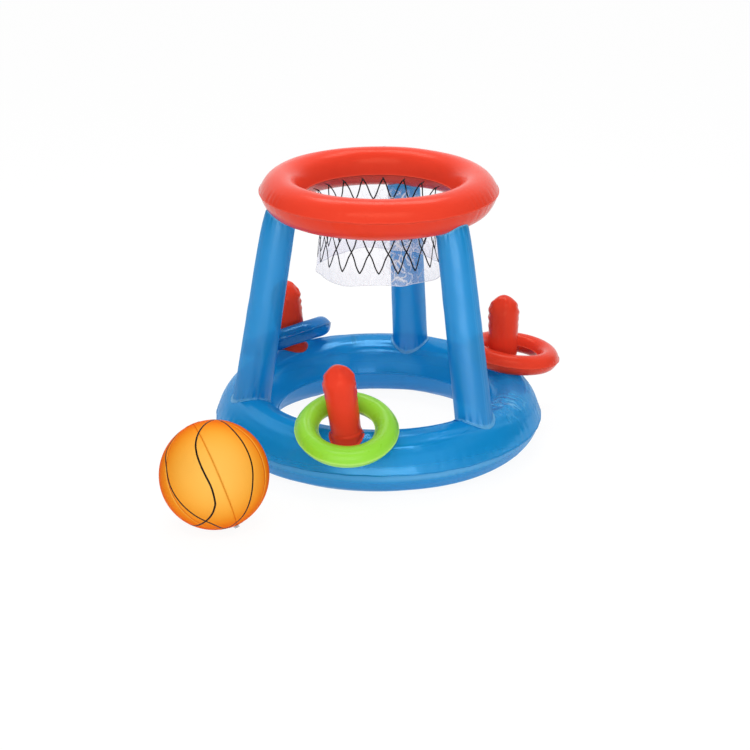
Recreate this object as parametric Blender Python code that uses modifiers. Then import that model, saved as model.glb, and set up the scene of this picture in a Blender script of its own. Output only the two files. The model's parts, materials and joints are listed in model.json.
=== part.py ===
"""Inflatable pool basketball set: a base ring, three legs that lean in to a hoop ring, a net sleeve
inside the hoop, three pegs with a toss ring over each, and a ball.

Every air chamber is made the way such toys are made. A ring is two flat annuli of vinyl, welded
along their outer and inner edges, so it is modelled as an upper and a lower sheet with a narrow weld
edge where they meet. A leg is a tube of the same sheet whose ends are cut to the rings and turned out
into a welded collar. The ball is six gores with a round patch over each pole.

Units are metres and +Z is up. The set stands on z = 0, with the middle of its box over the origin,
and -Y is its front.
"""

import math
from dataclasses import dataclass

import bmesh
import bpy
from mathutils import Quaternion, Vector
from mathutils.bvhtree import BVHTree

# Sheet vinyl and the clearance that keeps two welded sheets apart
SHEET_WALL = 0.0003
SHEET_GAP = 0.0003
MERGE_DISTANCE = 0.00002
CREASE_ANGLE = math.radians(50)

# Base ring
BASE_OUTER_DIAMETER = 0.62
BASE_TUBE_DIAMETER = 0.112
BASE_WELD_EDGE = 0.003
BASE_STEPS = 36
BASE_SECTION_STEPS = 7

# Hoop ring
HOOP_OUTER_DIAMETER = 0.441
HOOP_TUBE_DIAMETER = 0.073
HOOP_WELD_EDGE = 0.004
HOOP_TOP_HEIGHT = 0.52
HOOP_STEPS = 30
HOOP_SECTION_STEPS = 6

# Legs, spread evenly from the rear one. They narrow towards the hoop ring.
LEG_COUNT = 3
LEG_NAMES = ("leg_rear", "leg_left", "leg_right")
LEG_REAR_AZIMUTH = math.radians(90)
LEG_FOOT_DIAMETER = 0.07
LEG_HEAD_DIAMETER = 0.061
LEG_FOOT_OUTSET = 0.003
LEG_HEAD_OUTSET = 0.001
LEG_FOOT_COLLAR_WIDTH = 0.004
LEG_HEAD_COLLAR_WIDTH = 0.0015
LEG_SIDES = 16

# Pegs
PEG_HEIGHT = 0.136
PEG_HEAD_DIAMETER = 0.058
PEG_WAIST_DIAMETER = 0.053
PEG_FOOT_DIAMETER = 0.058
PEG_LIP_HEIGHT = 0.010
PEG_COLLAR_WIDTH = 0.003
PEG_SIDES = 12
PEG_DOME_STEPS = 4
PEG_SHOULDER_SHARE = 0.78

# Air ports through the base ring's upper sheet, one under each leg and peg
PORT_DIAMETER = 0.014
PORT_SIDES = 8

# Net sleeve, from the hoop's inner seam down
NET_LENGTH = 0.148
NET_THROAT_DIAMETER = 0.244
NET_WAIST_DIAMETER = 0.217
NET_MOUTH_DIAMETER = 0.23
NET_THROAT_DROP = 0.010
NET_WAIST_DROP = 0.080
NET_FILM_WALL = 0.0003
NET_SIDES = 30

# Toss rings
TOSS_OUTER_DIAMETER = 0.186
TOSS_TUBE_DIAMETER = 0.039
TOSS_WELD_EDGE = 0.002
TOSS_STEPS = 18
TOSS_SECTION_STEPS = 5
TOSS_PEG_CLEARANCE = 0.0005
TOSS_SEAT_SAMPLES = 720
TOSS_EDGE_SAMPLES = 8

# Ball
BALL_DIAMETER = 0.189
BALL_GORES = 6
BALL_GORE_STEPS = 4
BALL_MERIDIAN_STEPS = 9
BALL_TIP_DIAMETER = 0.008
BALL_DISC_DIAMETER = 0.026
BALL_DISC_SIDES = 12
BALL_DISTANCE = 0.489
BALL_AZIMUTH = math.radians(249.7)
BALL_LEAN = math.radians(32)
BALL_LEAN_AXIS_AZIMUTH = math.radians(244)
BALL_SPIN = math.radians(-1)

# The circles that the tubes' centre lines run on
BASE_TUBE_RADIUS = BASE_TUBE_DIAMETER / 2
BASE_RADIUS = BASE_OUTER_DIAMETER / 2 - BASE_WELD_EDGE - BASE_TUBE_RADIUS
HOOP_TUBE_RADIUS = HOOP_TUBE_DIAMETER / 2
HOOP_RADIUS = HOOP_OUTER_DIAMETER / 2 - HOOP_WELD_EDGE - HOOP_TUBE_RADIUS
TOSS_TUBE_RADIUS = TOSS_TUBE_DIAMETER / 2
TOSS_RADIUS = TOSS_OUTER_DIAMETER / 2 - TOSS_WELD_EDGE - TOSS_TUBE_RADIUS
LEG_FOOT_RADIUS = LEG_FOOT_DIAMETER / 2
LEG_HEAD_RADIUS = LEG_HEAD_DIAMETER / 2
BALL_RADIUS = BALL_DIAMETER / 2


@dataclass(frozen=True)
class Ring:
    """The sizes of one inflated ring: its centre circle, tube, weld edge and facets."""

    radius: float
    tube_radius: float
    weld_edge: float
    steps: int
    section_steps: int
    inner_seam_gap: float = SHEET_GAP

    @property
    def facet_share(self):
        """How far the middle of a facet lies from the tube's centre, as a share of its radius."""
        return math.cos(math.pi / (2 * self.section_steps))

    @property
    def skin_radius(self):
        """The tube's radius to the outside of the sheet."""
        return self.tube_radius + SHEET_WALL / 2


@dataclass(frozen=True)
class ValveSize:
    """The sizes of one moulded valve and its plug."""

    flange_radius: float
    flange_thickness: float
    rim_radius: float
    rim_height: float
    neck_radius: float
    neck_depth: float
    bore_radius: float
    cap_thickness: float
    stem_radius: float
    stem_length: float
    tab_length: float
    tab_width: float
    sides: int


@dataclass(frozen=True)
class PegSpot:
    """Where a peg stands and how it leans, and which way and how far its toss ring is tipped."""

    name: str
    distance: float
    azimuth: float
    lean_out: float
    lean_side: float
    toss_azimuth: float
    toss_tilt: float
    toss_valve_azimuth: float
    toss_colour: str


BASE = Ring(BASE_RADIUS, BASE_TUBE_RADIUS, BASE_WELD_EDGE, BASE_STEPS, BASE_SECTION_STEPS)
HOOP = Ring(HOOP_RADIUS, HOOP_TUBE_RADIUS, HOOP_WELD_EDGE, HOOP_STEPS, HOOP_SECTION_STEPS,
            inner_seam_gap=NET_FILM_WALL + 2 * SHEET_GAP)
TOSS = Ring(TOSS_RADIUS, TOSS_TUBE_RADIUS, TOSS_WELD_EDGE, TOSS_STEPS, TOSS_SECTION_STEPS)

BASE_HEIGHT = BASE.skin_radius * BASE.facet_share
HOOP_HEIGHT = HOOP_TOP_HEIGHT - HOOP.skin_radius

LARGE_VALVE = ValveSize(
    flange_radius=0.009, flange_thickness=0.0009, rim_radius=0.0062, rim_height=0.0026,
    neck_radius=0.0052, neck_depth=0.011, bore_radius=0.0036, cap_thickness=0.0014,
    stem_radius=0.0032, stem_length=0.006, tab_length=0.005, tab_width=0.004, sides=10)
SMALL_VALVE = ValveSize(
    flange_radius=0.006, flange_thickness=0.0008, rim_radius=0.0044, rim_height=0.0022,
    neck_radius=0.0036, neck_depth=0.008, bore_radius=0.0024, cap_thickness=0.0012,
    stem_radius=0.0020, stem_length=0.005, tab_length=0.004, tab_width=0.003, sides=10)
VALVE_HOLE_CLEARANCE = 0.0004
VALVE_CUT_DEPTH = 0.006

BASE_VALVE_AZIMUTH = math.radians(115)
BASE_VALVE_FACET = 1
HOOP_VALVE_AZIMUTH = math.radians(102)
HOOP_VALVE_FACET = 1
TOSS_VALVE_FACET = 1

PEGS = (
    PegSpot(name="front", distance=0.265, azimuth=math.radians(272.5),
            lean_out=math.radians(7), lean_side=math.radians(5.5),
            toss_azimuth=math.radians(288), toss_tilt=math.radians(20),
            toss_valve_azimuth=math.radians(190), toss_colour="green"),
    PegSpot(name="right", distance=0.2625, azimuth=math.radians(38),
            lean_out=0.0, lean_side=0.0,
            toss_azimuth=math.radians(30), toss_tilt=math.radians(7),
            toss_valve_azimuth=math.radians(70), toss_colour="red"),
    PegSpot(name="left", distance=0.259, azimuth=math.radians(147),
            lean_out=math.radians(4), lean_side=math.radians(-4.5),
            toss_azimuth=math.radians(150), toss_tilt=math.radians(26),
            toss_valve_azimuth=math.radians(310), toss_colour="pale_blue"),
)

COLOURS = {
    "blue_vinyl": ((0.005, 0.215, 0.515, 1.0), 0.28),
    "red_vinyl": ((0.78, 0.045, 0.025, 1.0), 0.3),
    "green_vinyl": ((0.255, 0.67, 0.042, 1.0), 0.28),
    "pale_blue_vinyl": ((0.02, 0.24, 0.55, 1.0), 0.25),
    "orange_vinyl": ((0.95, 0.35, 0.03, 1.0), 0.3),
    "clear_film": ((0.85, 0.88, 0.95, 1.0), 0.12),
    "clear_valve": ((0.75, 0.8, 0.85, 1.0), 0.25),
}


def clear_scene():
    """Remove every object that the file was opened with."""
    for old in list(bpy.data.objects):
        bpy.data.objects.remove(old, do_unlink=True)


def make_material(name):
    """A Principled material with the colour and roughness that COLOURS gives under this name."""
    colour, roughness = COLOURS[name]
    material = bpy.data.materials.new(name)
    material.use_nodes = True
    shader = material.node_tree.nodes["Principled BSDF"]
    shader.inputs["Base Color"].default_value = colour
    shader.inputs["Roughness"].default_value = roughness
    shader.inputs["Metallic"].default_value = 0.0
    return material


class Workshop:
    """The collections, materials and building steps that every piece shares."""

    def __init__(self):
        self.parts = bpy.data.collections.new("floating_basketball_hoop")
        self.cutters = bpy.data.collections.new("cutters")
        for collection in (self.parts, self.cutters):
            bpy.context.scene.collection.children.link(collection)
        self.materials = {name: make_material(name) for name in COLOURS}

    def empty(self, name, parent=None):
        """An empty that carries other objects."""
        holder = bpy.data.objects.new(name, None)
        self.parts.objects.link(holder)
        holder.parent = parent
        return holder

    def add(self, name, mesh, material=None, parent=None):
        """A part with this mesh, or a cutter where no material is named."""
        thing = bpy.data.objects.new(name, mesh)
        thing.parent = parent
        if material is None:
            self.cutters.objects.link(thing)
            thing.hide_render = True
            thing.display_type = "WIRE"
        else:
            self.parts.objects.link(thing)
            if not mesh.materials:
                mesh.materials.append(self.materials[material])
        return thing

    def turned(self, name, profile, steps, material=None, parent=None, closed=False, angle=math.tau):
        """A profile of (radius, height) points, turned round Z by a Screw modifier."""
        mesh = bpy.data.meshes.new(name)
        edges = [(i, i + 1) for i in range(len(profile) - 1)]
        if closed:
            edges.append((len(profile) - 1, 0))
        mesh.from_pydata([(radius, 0, height) for radius, height in profile], edges, [])
        thing = self.add(name, mesh, material, parent)
        screw = thing.modifiers.new("turn", "SCREW")
        screw.angle = angle
        screw.steps = steps
        screw.render_steps = steps
        screw.use_merge_vertices = angle == math.tau
        screw.merge_threshold = MERGE_DISTANCE
        return thing

    def cylinder(self, name, radii, start, end, sides, parent=None, closed=True):
        """A round bar or tube with these radii at its two ends, with or without the end faces."""
        shape = bmesh.new()
        run = end - start
        bmesh.ops.create_cone(shape, cap_ends=closed, segments=sides, radius1=radii[0],
                              radius2=radii[1], depth=run.length)
        mesh = bpy.data.meshes.new(name)
        shape.to_mesh(mesh)
        shape.free()
        thing = self.add(name, mesh, parent=parent)
        thing.location = (start + end) / 2
        thing.rotation_euler = run.to_track_quat("Z", "Y").to_euler()
        return thing

    def torus(self, name, ring, height, offset):
        """A solid ring whose facets run parallel to a ring's skin, this far outside it."""
        bpy.ops.mesh.primitive_torus_add(
            major_segments=ring.steps, minor_segments=2 * ring.section_steps,
            major_radius=ring.radius, minor_radius=ring.skin_radius + offset,
            location=(0, 0, height))
        thing = bpy.context.object
        thing.name = name
        for collection in list(thing.users_collection):
            collection.objects.unlink(thing)
        self.cutters.objects.link(thing)
        thing.hide_render = True
        thing.display_type = "WIRE"
        return thing


def thicken(thing, wall, name="sheet"):
    """Give an open surface its wall, half to each side."""
    solidify = thing.modifiers.new(name, "SOLIDIFY")
    solidify.thickness = wall
    solidify.offset = 0
    return solidify


def boolean(thing, other, operation):
    """An exact Boolean of one object with another."""
    step = thing.modifiers.new(f"{operation.lower()}_{other.name}", "BOOLEAN")
    step.operation = operation
    step.solver = "EXACT"
    step.object = other
    return step


def shade_round(mesh):
    """Smooth shading, with the edges sharper than the crease angle kept crisp."""
    mesh.shade_smooth()
    mesh.set_sharp_from_angle(angle=CREASE_ANGLE)


def settle(shop, thing, name, material):
    """Turn an object with modifiers into a part with a plain mesh, in the set's own frame."""
    bpy.context.view_layer.update()
    evaluated = thing.evaluated_get(bpy.context.evaluated_depsgraph_get())
    mesh = bpy.data.meshes.new_from_object(evaluated)
    mesh.transform(thing.matrix_world)
    mesh.materials.clear()
    mesh.name = name
    shade_round(mesh)
    bpy.data.objects.remove(thing, do_unlink=True)
    return shop.add(name, mesh, material)


def world_shape(thing):
    """An object's points, edges and faces in the world, as the modifiers leave them."""
    bpy.context.view_layer.update()
    evaluated = thing.evaluated_get(bpy.context.evaluated_depsgraph_get())
    mesh = evaluated.to_mesh()
    points = [evaluated.matrix_world @ v.co for v in mesh.vertices]
    edges = [tuple(edge.vertices) for edge in mesh.edges]
    faces = [tuple(face.vertices) for face in mesh.polygons]
    evaluated.to_mesh_clear()
    return points, edges, faces


def drops_onto(points, edges, other_points, other_faces, way):
    """The lengths of the rays, cast this way from points along the edges, that meet the faces."""
    tree = BVHTree.FromPolygons(other_points, other_faces)
    drops = []
    for first, last in edges:
        for i in range(TOSS_EDGE_SAMPLES + 1):
            start = points[first].lerp(points[last], i / TOSS_EDGE_SAMPLES)
            distance = tree.ray_cast(start, way)[3]
            if distance is not None:
                drops.append(distance)
    return drops


def drop_height(upper, lower):
    """How far one object can drop before it meets another, by vertical rays from both of them."""
    upper_points, upper_edges, upper_faces = world_shape(upper)
    lower_points, lower_edges, lower_faces = world_shape(lower)
    down = drops_onto(upper_points, upper_edges, lower_points, lower_faces, Vector((0, 0, -1)))
    up = drops_onto(lower_points, lower_edges, upper_points, upper_faces, Vector((0, 0, 1)))
    return min(down + up)


def around(radius, azimuth, height):
    """A point on a circle round the set's axis."""
    return Vector((radius * math.cos(azimuth), radius * math.sin(azimuth), height))


def sheet_profile(ring, side):
    """One sheet's section: from the outer weld edge over the crown to the inner weld edge.

    side is 1 for the upper sheet and -1 for the lower one.
    """
    outer_lift = (SHEET_GAP + SHEET_WALL) / 2
    inner_lift = (ring.inner_seam_gap + SHEET_WALL) / 2
    points = [(ring.radius + ring.tube_radius + ring.weld_edge, outer_lift)]
    for i in range(ring.section_steps + 1):
        turn = math.pi * i / ring.section_steps
        lift = outer_lift if i == 0 else inner_lift if i == ring.section_steps else 0
        points.append((ring.radius + ring.tube_radius * math.cos(turn),
                       lift or ring.tube_radius * math.sin(turn)))
    points.append((ring.radius - ring.tube_radius - ring.weld_edge, inner_lift))
    return [(radius, side * height) for radius, height in points]


def make_ring(shop, prefix, ring, material, parent):
    """The upper and lower sheet of an inflated ring, with its centre at the parent's origin."""
    sheets = []
    for level, side in (("top", 1), ("bottom", -1)):
        sheet = shop.turned(f"{prefix}_{level}_panel", sheet_profile(ring, side), ring.steps,
                            material, parent)
        thicken(sheet, SHEET_WALL)
        sheets.append(sheet)
    return sheets


def valve_profile(size):
    """The moulded valve's wall: raised rim, flange on the sheet, neck through it, and bore."""
    return [
        (size.rim_radius, size.rim_height),
        (size.rim_radius, size.flange_thickness),
        (size.flange_radius, size.flange_thickness),
        (size.flange_radius, 0),
        (size.neck_radius, 0),
        (size.neck_radius, -size.neck_depth),
        (size.bore_radius, -size.neck_depth),
        (size.bore_radius, size.rim_height),
    ]


def plug_profile(size):
    """The plug: a round cap that covers the rim, and a stem that fills the bore."""
    under = size.rim_height + SHEET_GAP
    return [
        (0, under + size.cap_thickness),
        (size.rim_radius, under + size.cap_thickness),
        (size.rim_radius, under),
        (size.stem_radius, under),
        (size.stem_radius, under - size.stem_length),
        (0, under - size.stem_length),
    ]


def make_plug(shop, name, size, parent):
    """The plug with the tab that a finger lifts."""
    plug = shop.turned(name, plug_profile(size), size.sides, "clear_valve", parent)
    shape = bmesh.new()
    bmesh.ops.create_cube(shape, size=1)
    mesh = bpy.data.meshes.new(f"{name}_tab")
    shape.to_mesh(mesh)
    shape.free()
    tab = shop.add(f"{name}_tab", mesh, parent=parent)
    tab.scale = (size.tab_length, size.tab_width, size.cap_thickness / 2)
    tab.location = (size.rim_radius + size.tab_length / 4, 0,
                    size.rim_height + SHEET_GAP + size.cap_thickness / 2)
    boolean(plug, tab, "UNION")


def make_valve(shop, prefix, size, sheet, seat):
    """A valve and its plug on a sheet, which gets a hole for the valve's neck.

    seat is the empty at the flange's underside, which faces out along its Z.
    """
    shop.turned(f"{prefix}_valve", valve_profile(size), size.sides, "clear_valve", seat,
                closed=True)
    make_plug(shop, f"{prefix}_valve_plug", size, seat)
    cut = size.neck_radius + VALVE_HOLE_CLEARANCE
    hole = shop.cylinder(f"{prefix}_valve_hole", (cut, cut), Vector((0, 0, -VALVE_CUT_DEPTH)),
                         Vector((0, 0, VALVE_CUT_DEPTH)), size.sides, seat)
    boolean(sheet, hole, "DIFFERENCE")


def ring_valve_seat(shop, prefix, ring, azimuth, facet, parent):
    """An empty in the middle of one facet of a ring's upper sheet, with Z out of the facet.

    facet counts up from the outer seam. azimuth is the middle of a step of the ring.
    """
    slope = math.pi * (facet + 0.5) / ring.section_steps
    reach = ring.skin_radius * ring.facet_share
    radius = (ring.radius + reach * math.cos(slope)) * math.cos(math.pi / ring.steps)
    normal = Vector((math.cos(slope) * math.cos(azimuth), math.cos(slope) * math.sin(azimuth),
                     math.sin(slope)))
    seat = shop.empty(f"{prefix}_valve_seat", parent)
    seat.location = around(radius, azimuth, reach * math.sin(slope)) + normal * SHEET_GAP
    seat.rotation_euler = (0, math.pi / 2 - slope, azimuth)
    return seat


def make_base(shop, root):
    """The base ring with its valve and the air ports under the legs and pegs.

    It gives the upper sheet, which the toss rings lie on.
    """
    centre = shop.empty("base_ring_centre", root)
    centre.location = (0, 0, BASE_HEIGHT)
    top, _ = make_ring(shop, "base_ring", BASE, "blue_vinyl", centre)
    spots = [around(BASE_RADIUS, LEG_REAR_AZIMUTH + math.tau * i / LEG_COUNT, 0)
             for i in range(LEG_COUNT)]
    spots += [around(spot.distance, spot.azimuth, 0) for spot in PEGS]
    lift = Vector((0, 0, BASE_TUBE_RADIUS))
    port_radii = (PORT_DIAMETER / 2, PORT_DIAMETER / 2)
    for i, spot in enumerate(spots):
        port = shop.cylinder(f"air_port_{i + 1}", port_radii, spot + lift / 2, spot + lift * 2,
                             PORT_SIDES, centre)
        boolean(top, port, "DIFFERENCE")
    seat = ring_valve_seat(shop, "base_ring", BASE, BASE_VALVE_AZIMUTH, BASE_VALVE_FACET, centre)
    make_valve(shop, "base_ring", LARGE_VALVE, top, seat)
    return top


def make_hoop(shop, root):
    """The hoop ring with its valve."""
    centre = shop.empty("hoop_ring_centre", root)
    centre.location = (0, 0, HOOP_HEIGHT)
    top, _ = make_ring(shop, "hoop_ring", HOOP, "red_vinyl", centre)
    seat = ring_valve_seat(shop, "hoop_ring", HOOP, HOOP_VALVE_AZIMUTH, HOOP_VALVE_FACET, centre)
    make_valve(shop, "hoop_ring", LARGE_VALVE, top, seat)


def add_collar(shop, tube, name, pipe, width, ring, height):
    """Weld a collar to a tube where it meets a ring.

    The collar is the part of a thicker pipe round the tube that lies within one sheet's thickness
    of the ring. The pipe's facets line up with the tube's, and its inner face runs inside the
    tube's wall, so that the two join all the way round.
    """
    thicken(pipe, width)
    outside = shop.torus(f"{name}_collar_outside", ring, height, SHEET_GAP + SHEET_WALL)
    boolean(pipe, outside, "INTERSECT")
    boolean(tube, pipe, "UNION")


def trim(shop, tube, name, ring, height):
    """Cut a tube off along a ring's skin, one clearance outside it."""
    skin = shop.torus(f"{name}_trim", ring, height, SHEET_GAP)
    boolean(tube, skin, "DIFFERENCE")


def make_legs(shop, root):
    """The rear leg, and the same leg turned round the axis to the other places."""
    foot = around(BASE_RADIUS + LEG_FOOT_OUTSET, LEG_REAR_AZIMUTH, BASE_HEIGHT)
    head = around(HOOP_RADIUS + LEG_HEAD_OUTSET, LEG_REAR_AZIMUTH, HOOP_HEIGHT)
    tube = shop.cylinder("leg_tube", (LEG_FOOT_RADIUS, LEG_HEAD_RADIUS), foot, head, LEG_SIDES,
                         closed=False)
    thicken(tube, SHEET_WALL)
    ends = (("leg_foot", BASE, BASE_HEIGHT, LEG_FOOT_COLLAR_WIDTH),
            ("leg_head", HOOP, HOOP_HEIGHT, LEG_HEAD_COLLAR_WIDTH))
    for name, ring, height, width in ends:
        radii = (LEG_FOOT_RADIUS + width / 2, LEG_HEAD_RADIUS + width / 2)
        pipe = shop.cylinder(f"{name}_pipe", radii, foot, head, LEG_SIDES, closed=False)
        add_collar(shop, tube, name, pipe, width, ring, height)
    for name, ring, height, _ in ends:
        trim(shop, tube, name, ring, height)
    first = settle(shop, tube, LEG_NAMES[0], "blue_vinyl")
    first.parent = root
    for i in range(1, LEG_COUNT):
        leg = shop.add(LEG_NAMES[i], first.data, "blue_vinyl", root)
        leg.rotation_euler = (0, 0, math.tau * i / LEG_COUNT)


def peg_profile():
    """The peg's section from the tip down: dome, long taper to the waist, flared lip, foot.

    Heights are above the base ring's crown, and the foot runs on down to the ring's centre.
    """
    head = PEG_HEAD_DIAMETER / 2
    waist = PEG_WAIST_DIAMETER / 2
    foot = PEG_FOOT_DIAMETER / 2
    shoulder = PEG_HEIGHT * PEG_SHOULDER_SHARE
    dome = PEG_HEIGHT - shoulder
    points = []
    for i in range(PEG_DOME_STEPS + 1):
        turn = math.pi / 2 * i / PEG_DOME_STEPS
        points.append((head * math.sin(turn), shoulder + dome * math.cos(turn)))
    points += [
        (waist, PEG_LIP_HEIGHT * 2),
        (waist, PEG_LIP_HEIGHT),
        (foot, PEG_LIP_HEIGHT / 2),
        (foot, -BASE_TUBE_RADIUS),
    ]
    return points


def make_peg(shop, spot, root):
    """A domed peg on the base ring, with a collar at its foot."""
    name = f"peg_{spot.name}"
    crown = around(spot.distance, spot.azimuth, BASE_HEIGHT + BASE_TUBE_RADIUS)
    lean = Quaternion((0, 0, 1), spot.azimuth) @ Quaternion((0, 1, 0), spot.lean_out)
    lean = lean @ Quaternion((1, 0, 0), spot.lean_side)
    tube = shop.turned(f"{name}_tube", peg_profile(), PEG_SIDES)
    collar_radius = (PEG_FOOT_DIAMETER + PEG_COLLAR_WIDTH) / 2
    pipe = shop.turned(f"{name}_pipe", [(collar_radius, BASE_TUBE_RADIUS),
                                        (collar_radius, -BASE_TUBE_RADIUS)], PEG_SIDES)
    for thing in (tube, pipe):
        thing.location = crown
        thing.rotation_euler = lean.to_euler()
    thicken(tube, SHEET_WALL)
    add_collar(shop, tube, name, pipe, PEG_COLLAR_WIDTH, BASE, BASE_HEIGHT)
    trim(shop, tube, name, BASE, BASE_HEIGHT)
    peg = settle(shop, tube, name, "red_vinyl")
    peg.parent = root


def make_net(shop, root):
    """The net sleeve: film held in the hoop's inner seam, drawn in and hanging down."""
    seam = HOOP_RADIUS - HOOP_TUBE_RADIUS
    edge = seam - HOOP_WELD_EDGE
    profile = [
        (seam - SHEET_WALL, 0),
        (edge - SHEET_WALL, 0),
        (NET_THROAT_DIAMETER / 2, -NET_THROAT_DROP),
        (NET_WAIST_DIAMETER / 2, -NET_WAIST_DROP),
        (NET_MOUTH_DIAMETER / 2, -NET_LENGTH),
    ]
    net = shop.turned("net_sleeve", profile, NET_SIDES, "clear_film", root)
    net.location = (0, 0, HOOP_HEIGHT)
    thicken(net, NET_FILM_WALL)
    return net


def toss_shift(spot):
    """How far the toss ring slides out from the peg's axis before its inner side meets the peg.

    The ring's tube or its weld edge comes nearest, by how far the ring is tipped, and the middle of
    a facet is nearer than its ends.
    """
    tube = TOSS_RADIUS * math.cos(spot.toss_tilt) - TOSS.skin_radius
    edge = (TOSS_RADIUS - TOSS_TUBE_RADIUS - TOSS_WELD_EDGE) * math.cos(spot.toss_tilt)
    room = min(tube, edge) * math.cos(math.pi / TOSS_STEPS)
    return room - (PEG_HEAD_DIAMETER + SHEET_WALL) / 2 - TOSS_PEG_CLEARANCE


def toss_seat_height(spot, middle, turn):
    """The height at which a tipped toss ring rests on the base ring.

    middle is the ring's centre at height 0 and turn is the way it is tipped. The two tubes touch
    where their centre circles are as far apart as their radii together. The height is the greatest
    that any point of the toss ring's circle asks for.
    """
    reach = BASE.skin_radius + TOSS.skin_radius + SHEET_GAP
    height = BASE_HEIGHT
    for i in range(TOSS_SEAT_SAMPLES):
        point = middle + turn @ around(TOSS_RADIUS, math.tau * i / TOSS_SEAT_SAMPLES, 0)
        off = math.hypot(point.x, point.y) - BASE_RADIUS
        if abs(off) < reach:
            height = max(height, BASE_HEIGHT + math.sqrt(reach * reach - off * off) - point.z)
    return height


def make_toss_ring(shop, spot, root, seat_sheet):
    """A toss ring over its peg, tipped outwards and let down on the base ring, with its valve."""
    prefix = f"toss_ring_{spot.name}"
    turn = Quaternion((0, 0, 1), spot.toss_azimuth) @ Quaternion((0, 1, 0), spot.toss_tilt)
    middle = around(spot.distance, spot.azimuth, 0) + around(toss_shift(spot), spot.toss_azimuth, 0)
    centre = shop.empty(f"{prefix}_centre", root)
    centre.location = middle + Vector((0, 0, toss_seat_height(spot, middle, turn)))
    centre.rotation_euler = turn.to_euler()
    top, bottom = make_ring(shop, prefix, TOSS, f"{spot.toss_colour}_vinyl", centre)
    centre.location.z -= drop_height(bottom, seat_sheet) - SHEET_GAP
    seat = ring_valve_seat(shop, prefix, TOSS, spot.toss_valve_azimuth, TOSS_VALVE_FACET, centre)
    make_valve(shop, prefix, SMALL_VALVE, top, seat)


def meridian(start, end, steps, radius):
    """Points of a ball's section between two angles from its pole."""
    turns = [start + (end - start) * i / steps for i in range(steps + 1)]
    return [(radius * math.sin(turn), radius * math.cos(turn)) for turn in turns]


def make_ball(shop, root):
    """The ball: six gores, a patch over each pole and the valve in the lower patch.

    The ball lies turned, so that its valve clears the ground, with the plug's tab on the uphill side.
    """
    centre = shop.empty("ball_centre", root)
    lean_axis = around(1, BALL_LEAN_AXIS_AZIMUTH, 0)
    turn = Quaternion(lean_axis, BALL_LEAN) @ Quaternion((0, 0, 1), BALL_SPIN)
    centre.rotation_euler = turn.to_euler()
    centre.location = around(BALL_DISTANCE, BALL_AZIMUTH, BALL_RADIUS)

    tip = math.asin(BALL_TIP_DIAMETER / BALL_DIAMETER)
    seam = SHEET_GAP / BALL_RADIUS
    width = math.tau / BALL_GORES
    gores = []
    for i in range(BALL_GORES):
        gore = shop.turned(f"ball_gore_{i + 1}",
                           meridian(tip, math.pi - tip, BALL_MERIDIAN_STEPS, BALL_RADIUS),
                           BALL_GORE_STEPS, "orange_vinyl", centre, angle=width - seam)
        gore.rotation_euler = (0, 0, i * width)
        thicken(gore, SHEET_WALL)
        gores.append(gore)

    patch = math.asin(BALL_DISC_DIAMETER / BALL_DIAMETER)
    over = BALL_RADIUS + SHEET_WALL + SHEET_GAP
    discs = []
    for level, flip in (("top", 0), ("bottom", math.pi)):
        disc = shop.turned(f"ball_{level}_disc", meridian(0, patch, 2, over), BALL_DISC_SIDES,
                           "orange_vinyl", centre)
        disc.rotation_euler = (flip, 0, 0)
        thicken(disc, SHEET_WALL)
        discs.append(disc)

    uphill = BALL_LEAN_AXIS_AZIMUTH + math.pi / 2 - BALL_SPIN
    seat = shop.empty("ball_valve_seat", centre)
    seat.location = (0, 0, -over - SHEET_WALL / 2 - SHEET_GAP)
    seat.rotation_euler = (math.pi, 0, uphill)
    make_valve(shop, "ball", SMALL_VALVE, discs[1], seat)
    centre.location.z -= min(point.z for gore in gores for point in world_shape(gore)[0])


def centre_set(shop, root):
    """Move the whole set so that its box stands on z = 0 with its middle over the origin."""
    corners = []
    for thing in shop.parts.objects:
        if thing.type == "MESH":
            corners += world_shape(thing)[0]
    low = Vector([min(corner[i] for corner in corners) for i in range(3)])
    high = Vector([max(corner[i] for corner in corners) for i in range(3)])
    root.location = (-(low.x + high.x) / 2, -(low.y + high.y) / 2, -low.z)
    print("set size", [round(edge, 4) for edge in high - low], "set origin",
          [round(value, 5) for value in root.location])


def main():
    """Build the set."""
    clear_scene()
    shop = Workshop()
    root = shop.empty("set_root")
    base_top = make_base(shop, root)
    make_hoop(shop, root)
    make_legs(shop, root)
    make_net(shop, root)
    for spot in PEGS:
        make_peg(shop, spot, root)
        make_toss_ring(shop, spot, root, base_top)
    make_ball(shop, root)
    centre_set(shop, root)


main()
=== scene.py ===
"""Dresses the inflatable pool basketball set in vinyl sheets, film and print, in a white studio.

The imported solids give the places. Every sheet is made again here as a smooth surface with what the
real one shows: pointed weld edges with puckers, collars, wrinkles, printed lines and moulded
valves.
"""

from __future__ import annotations

import json
import logging
import math
from dataclasses import dataclass, field
from enum import Enum

import bpy
import numpy as np
from mathutils import Matrix, Vector


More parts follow.
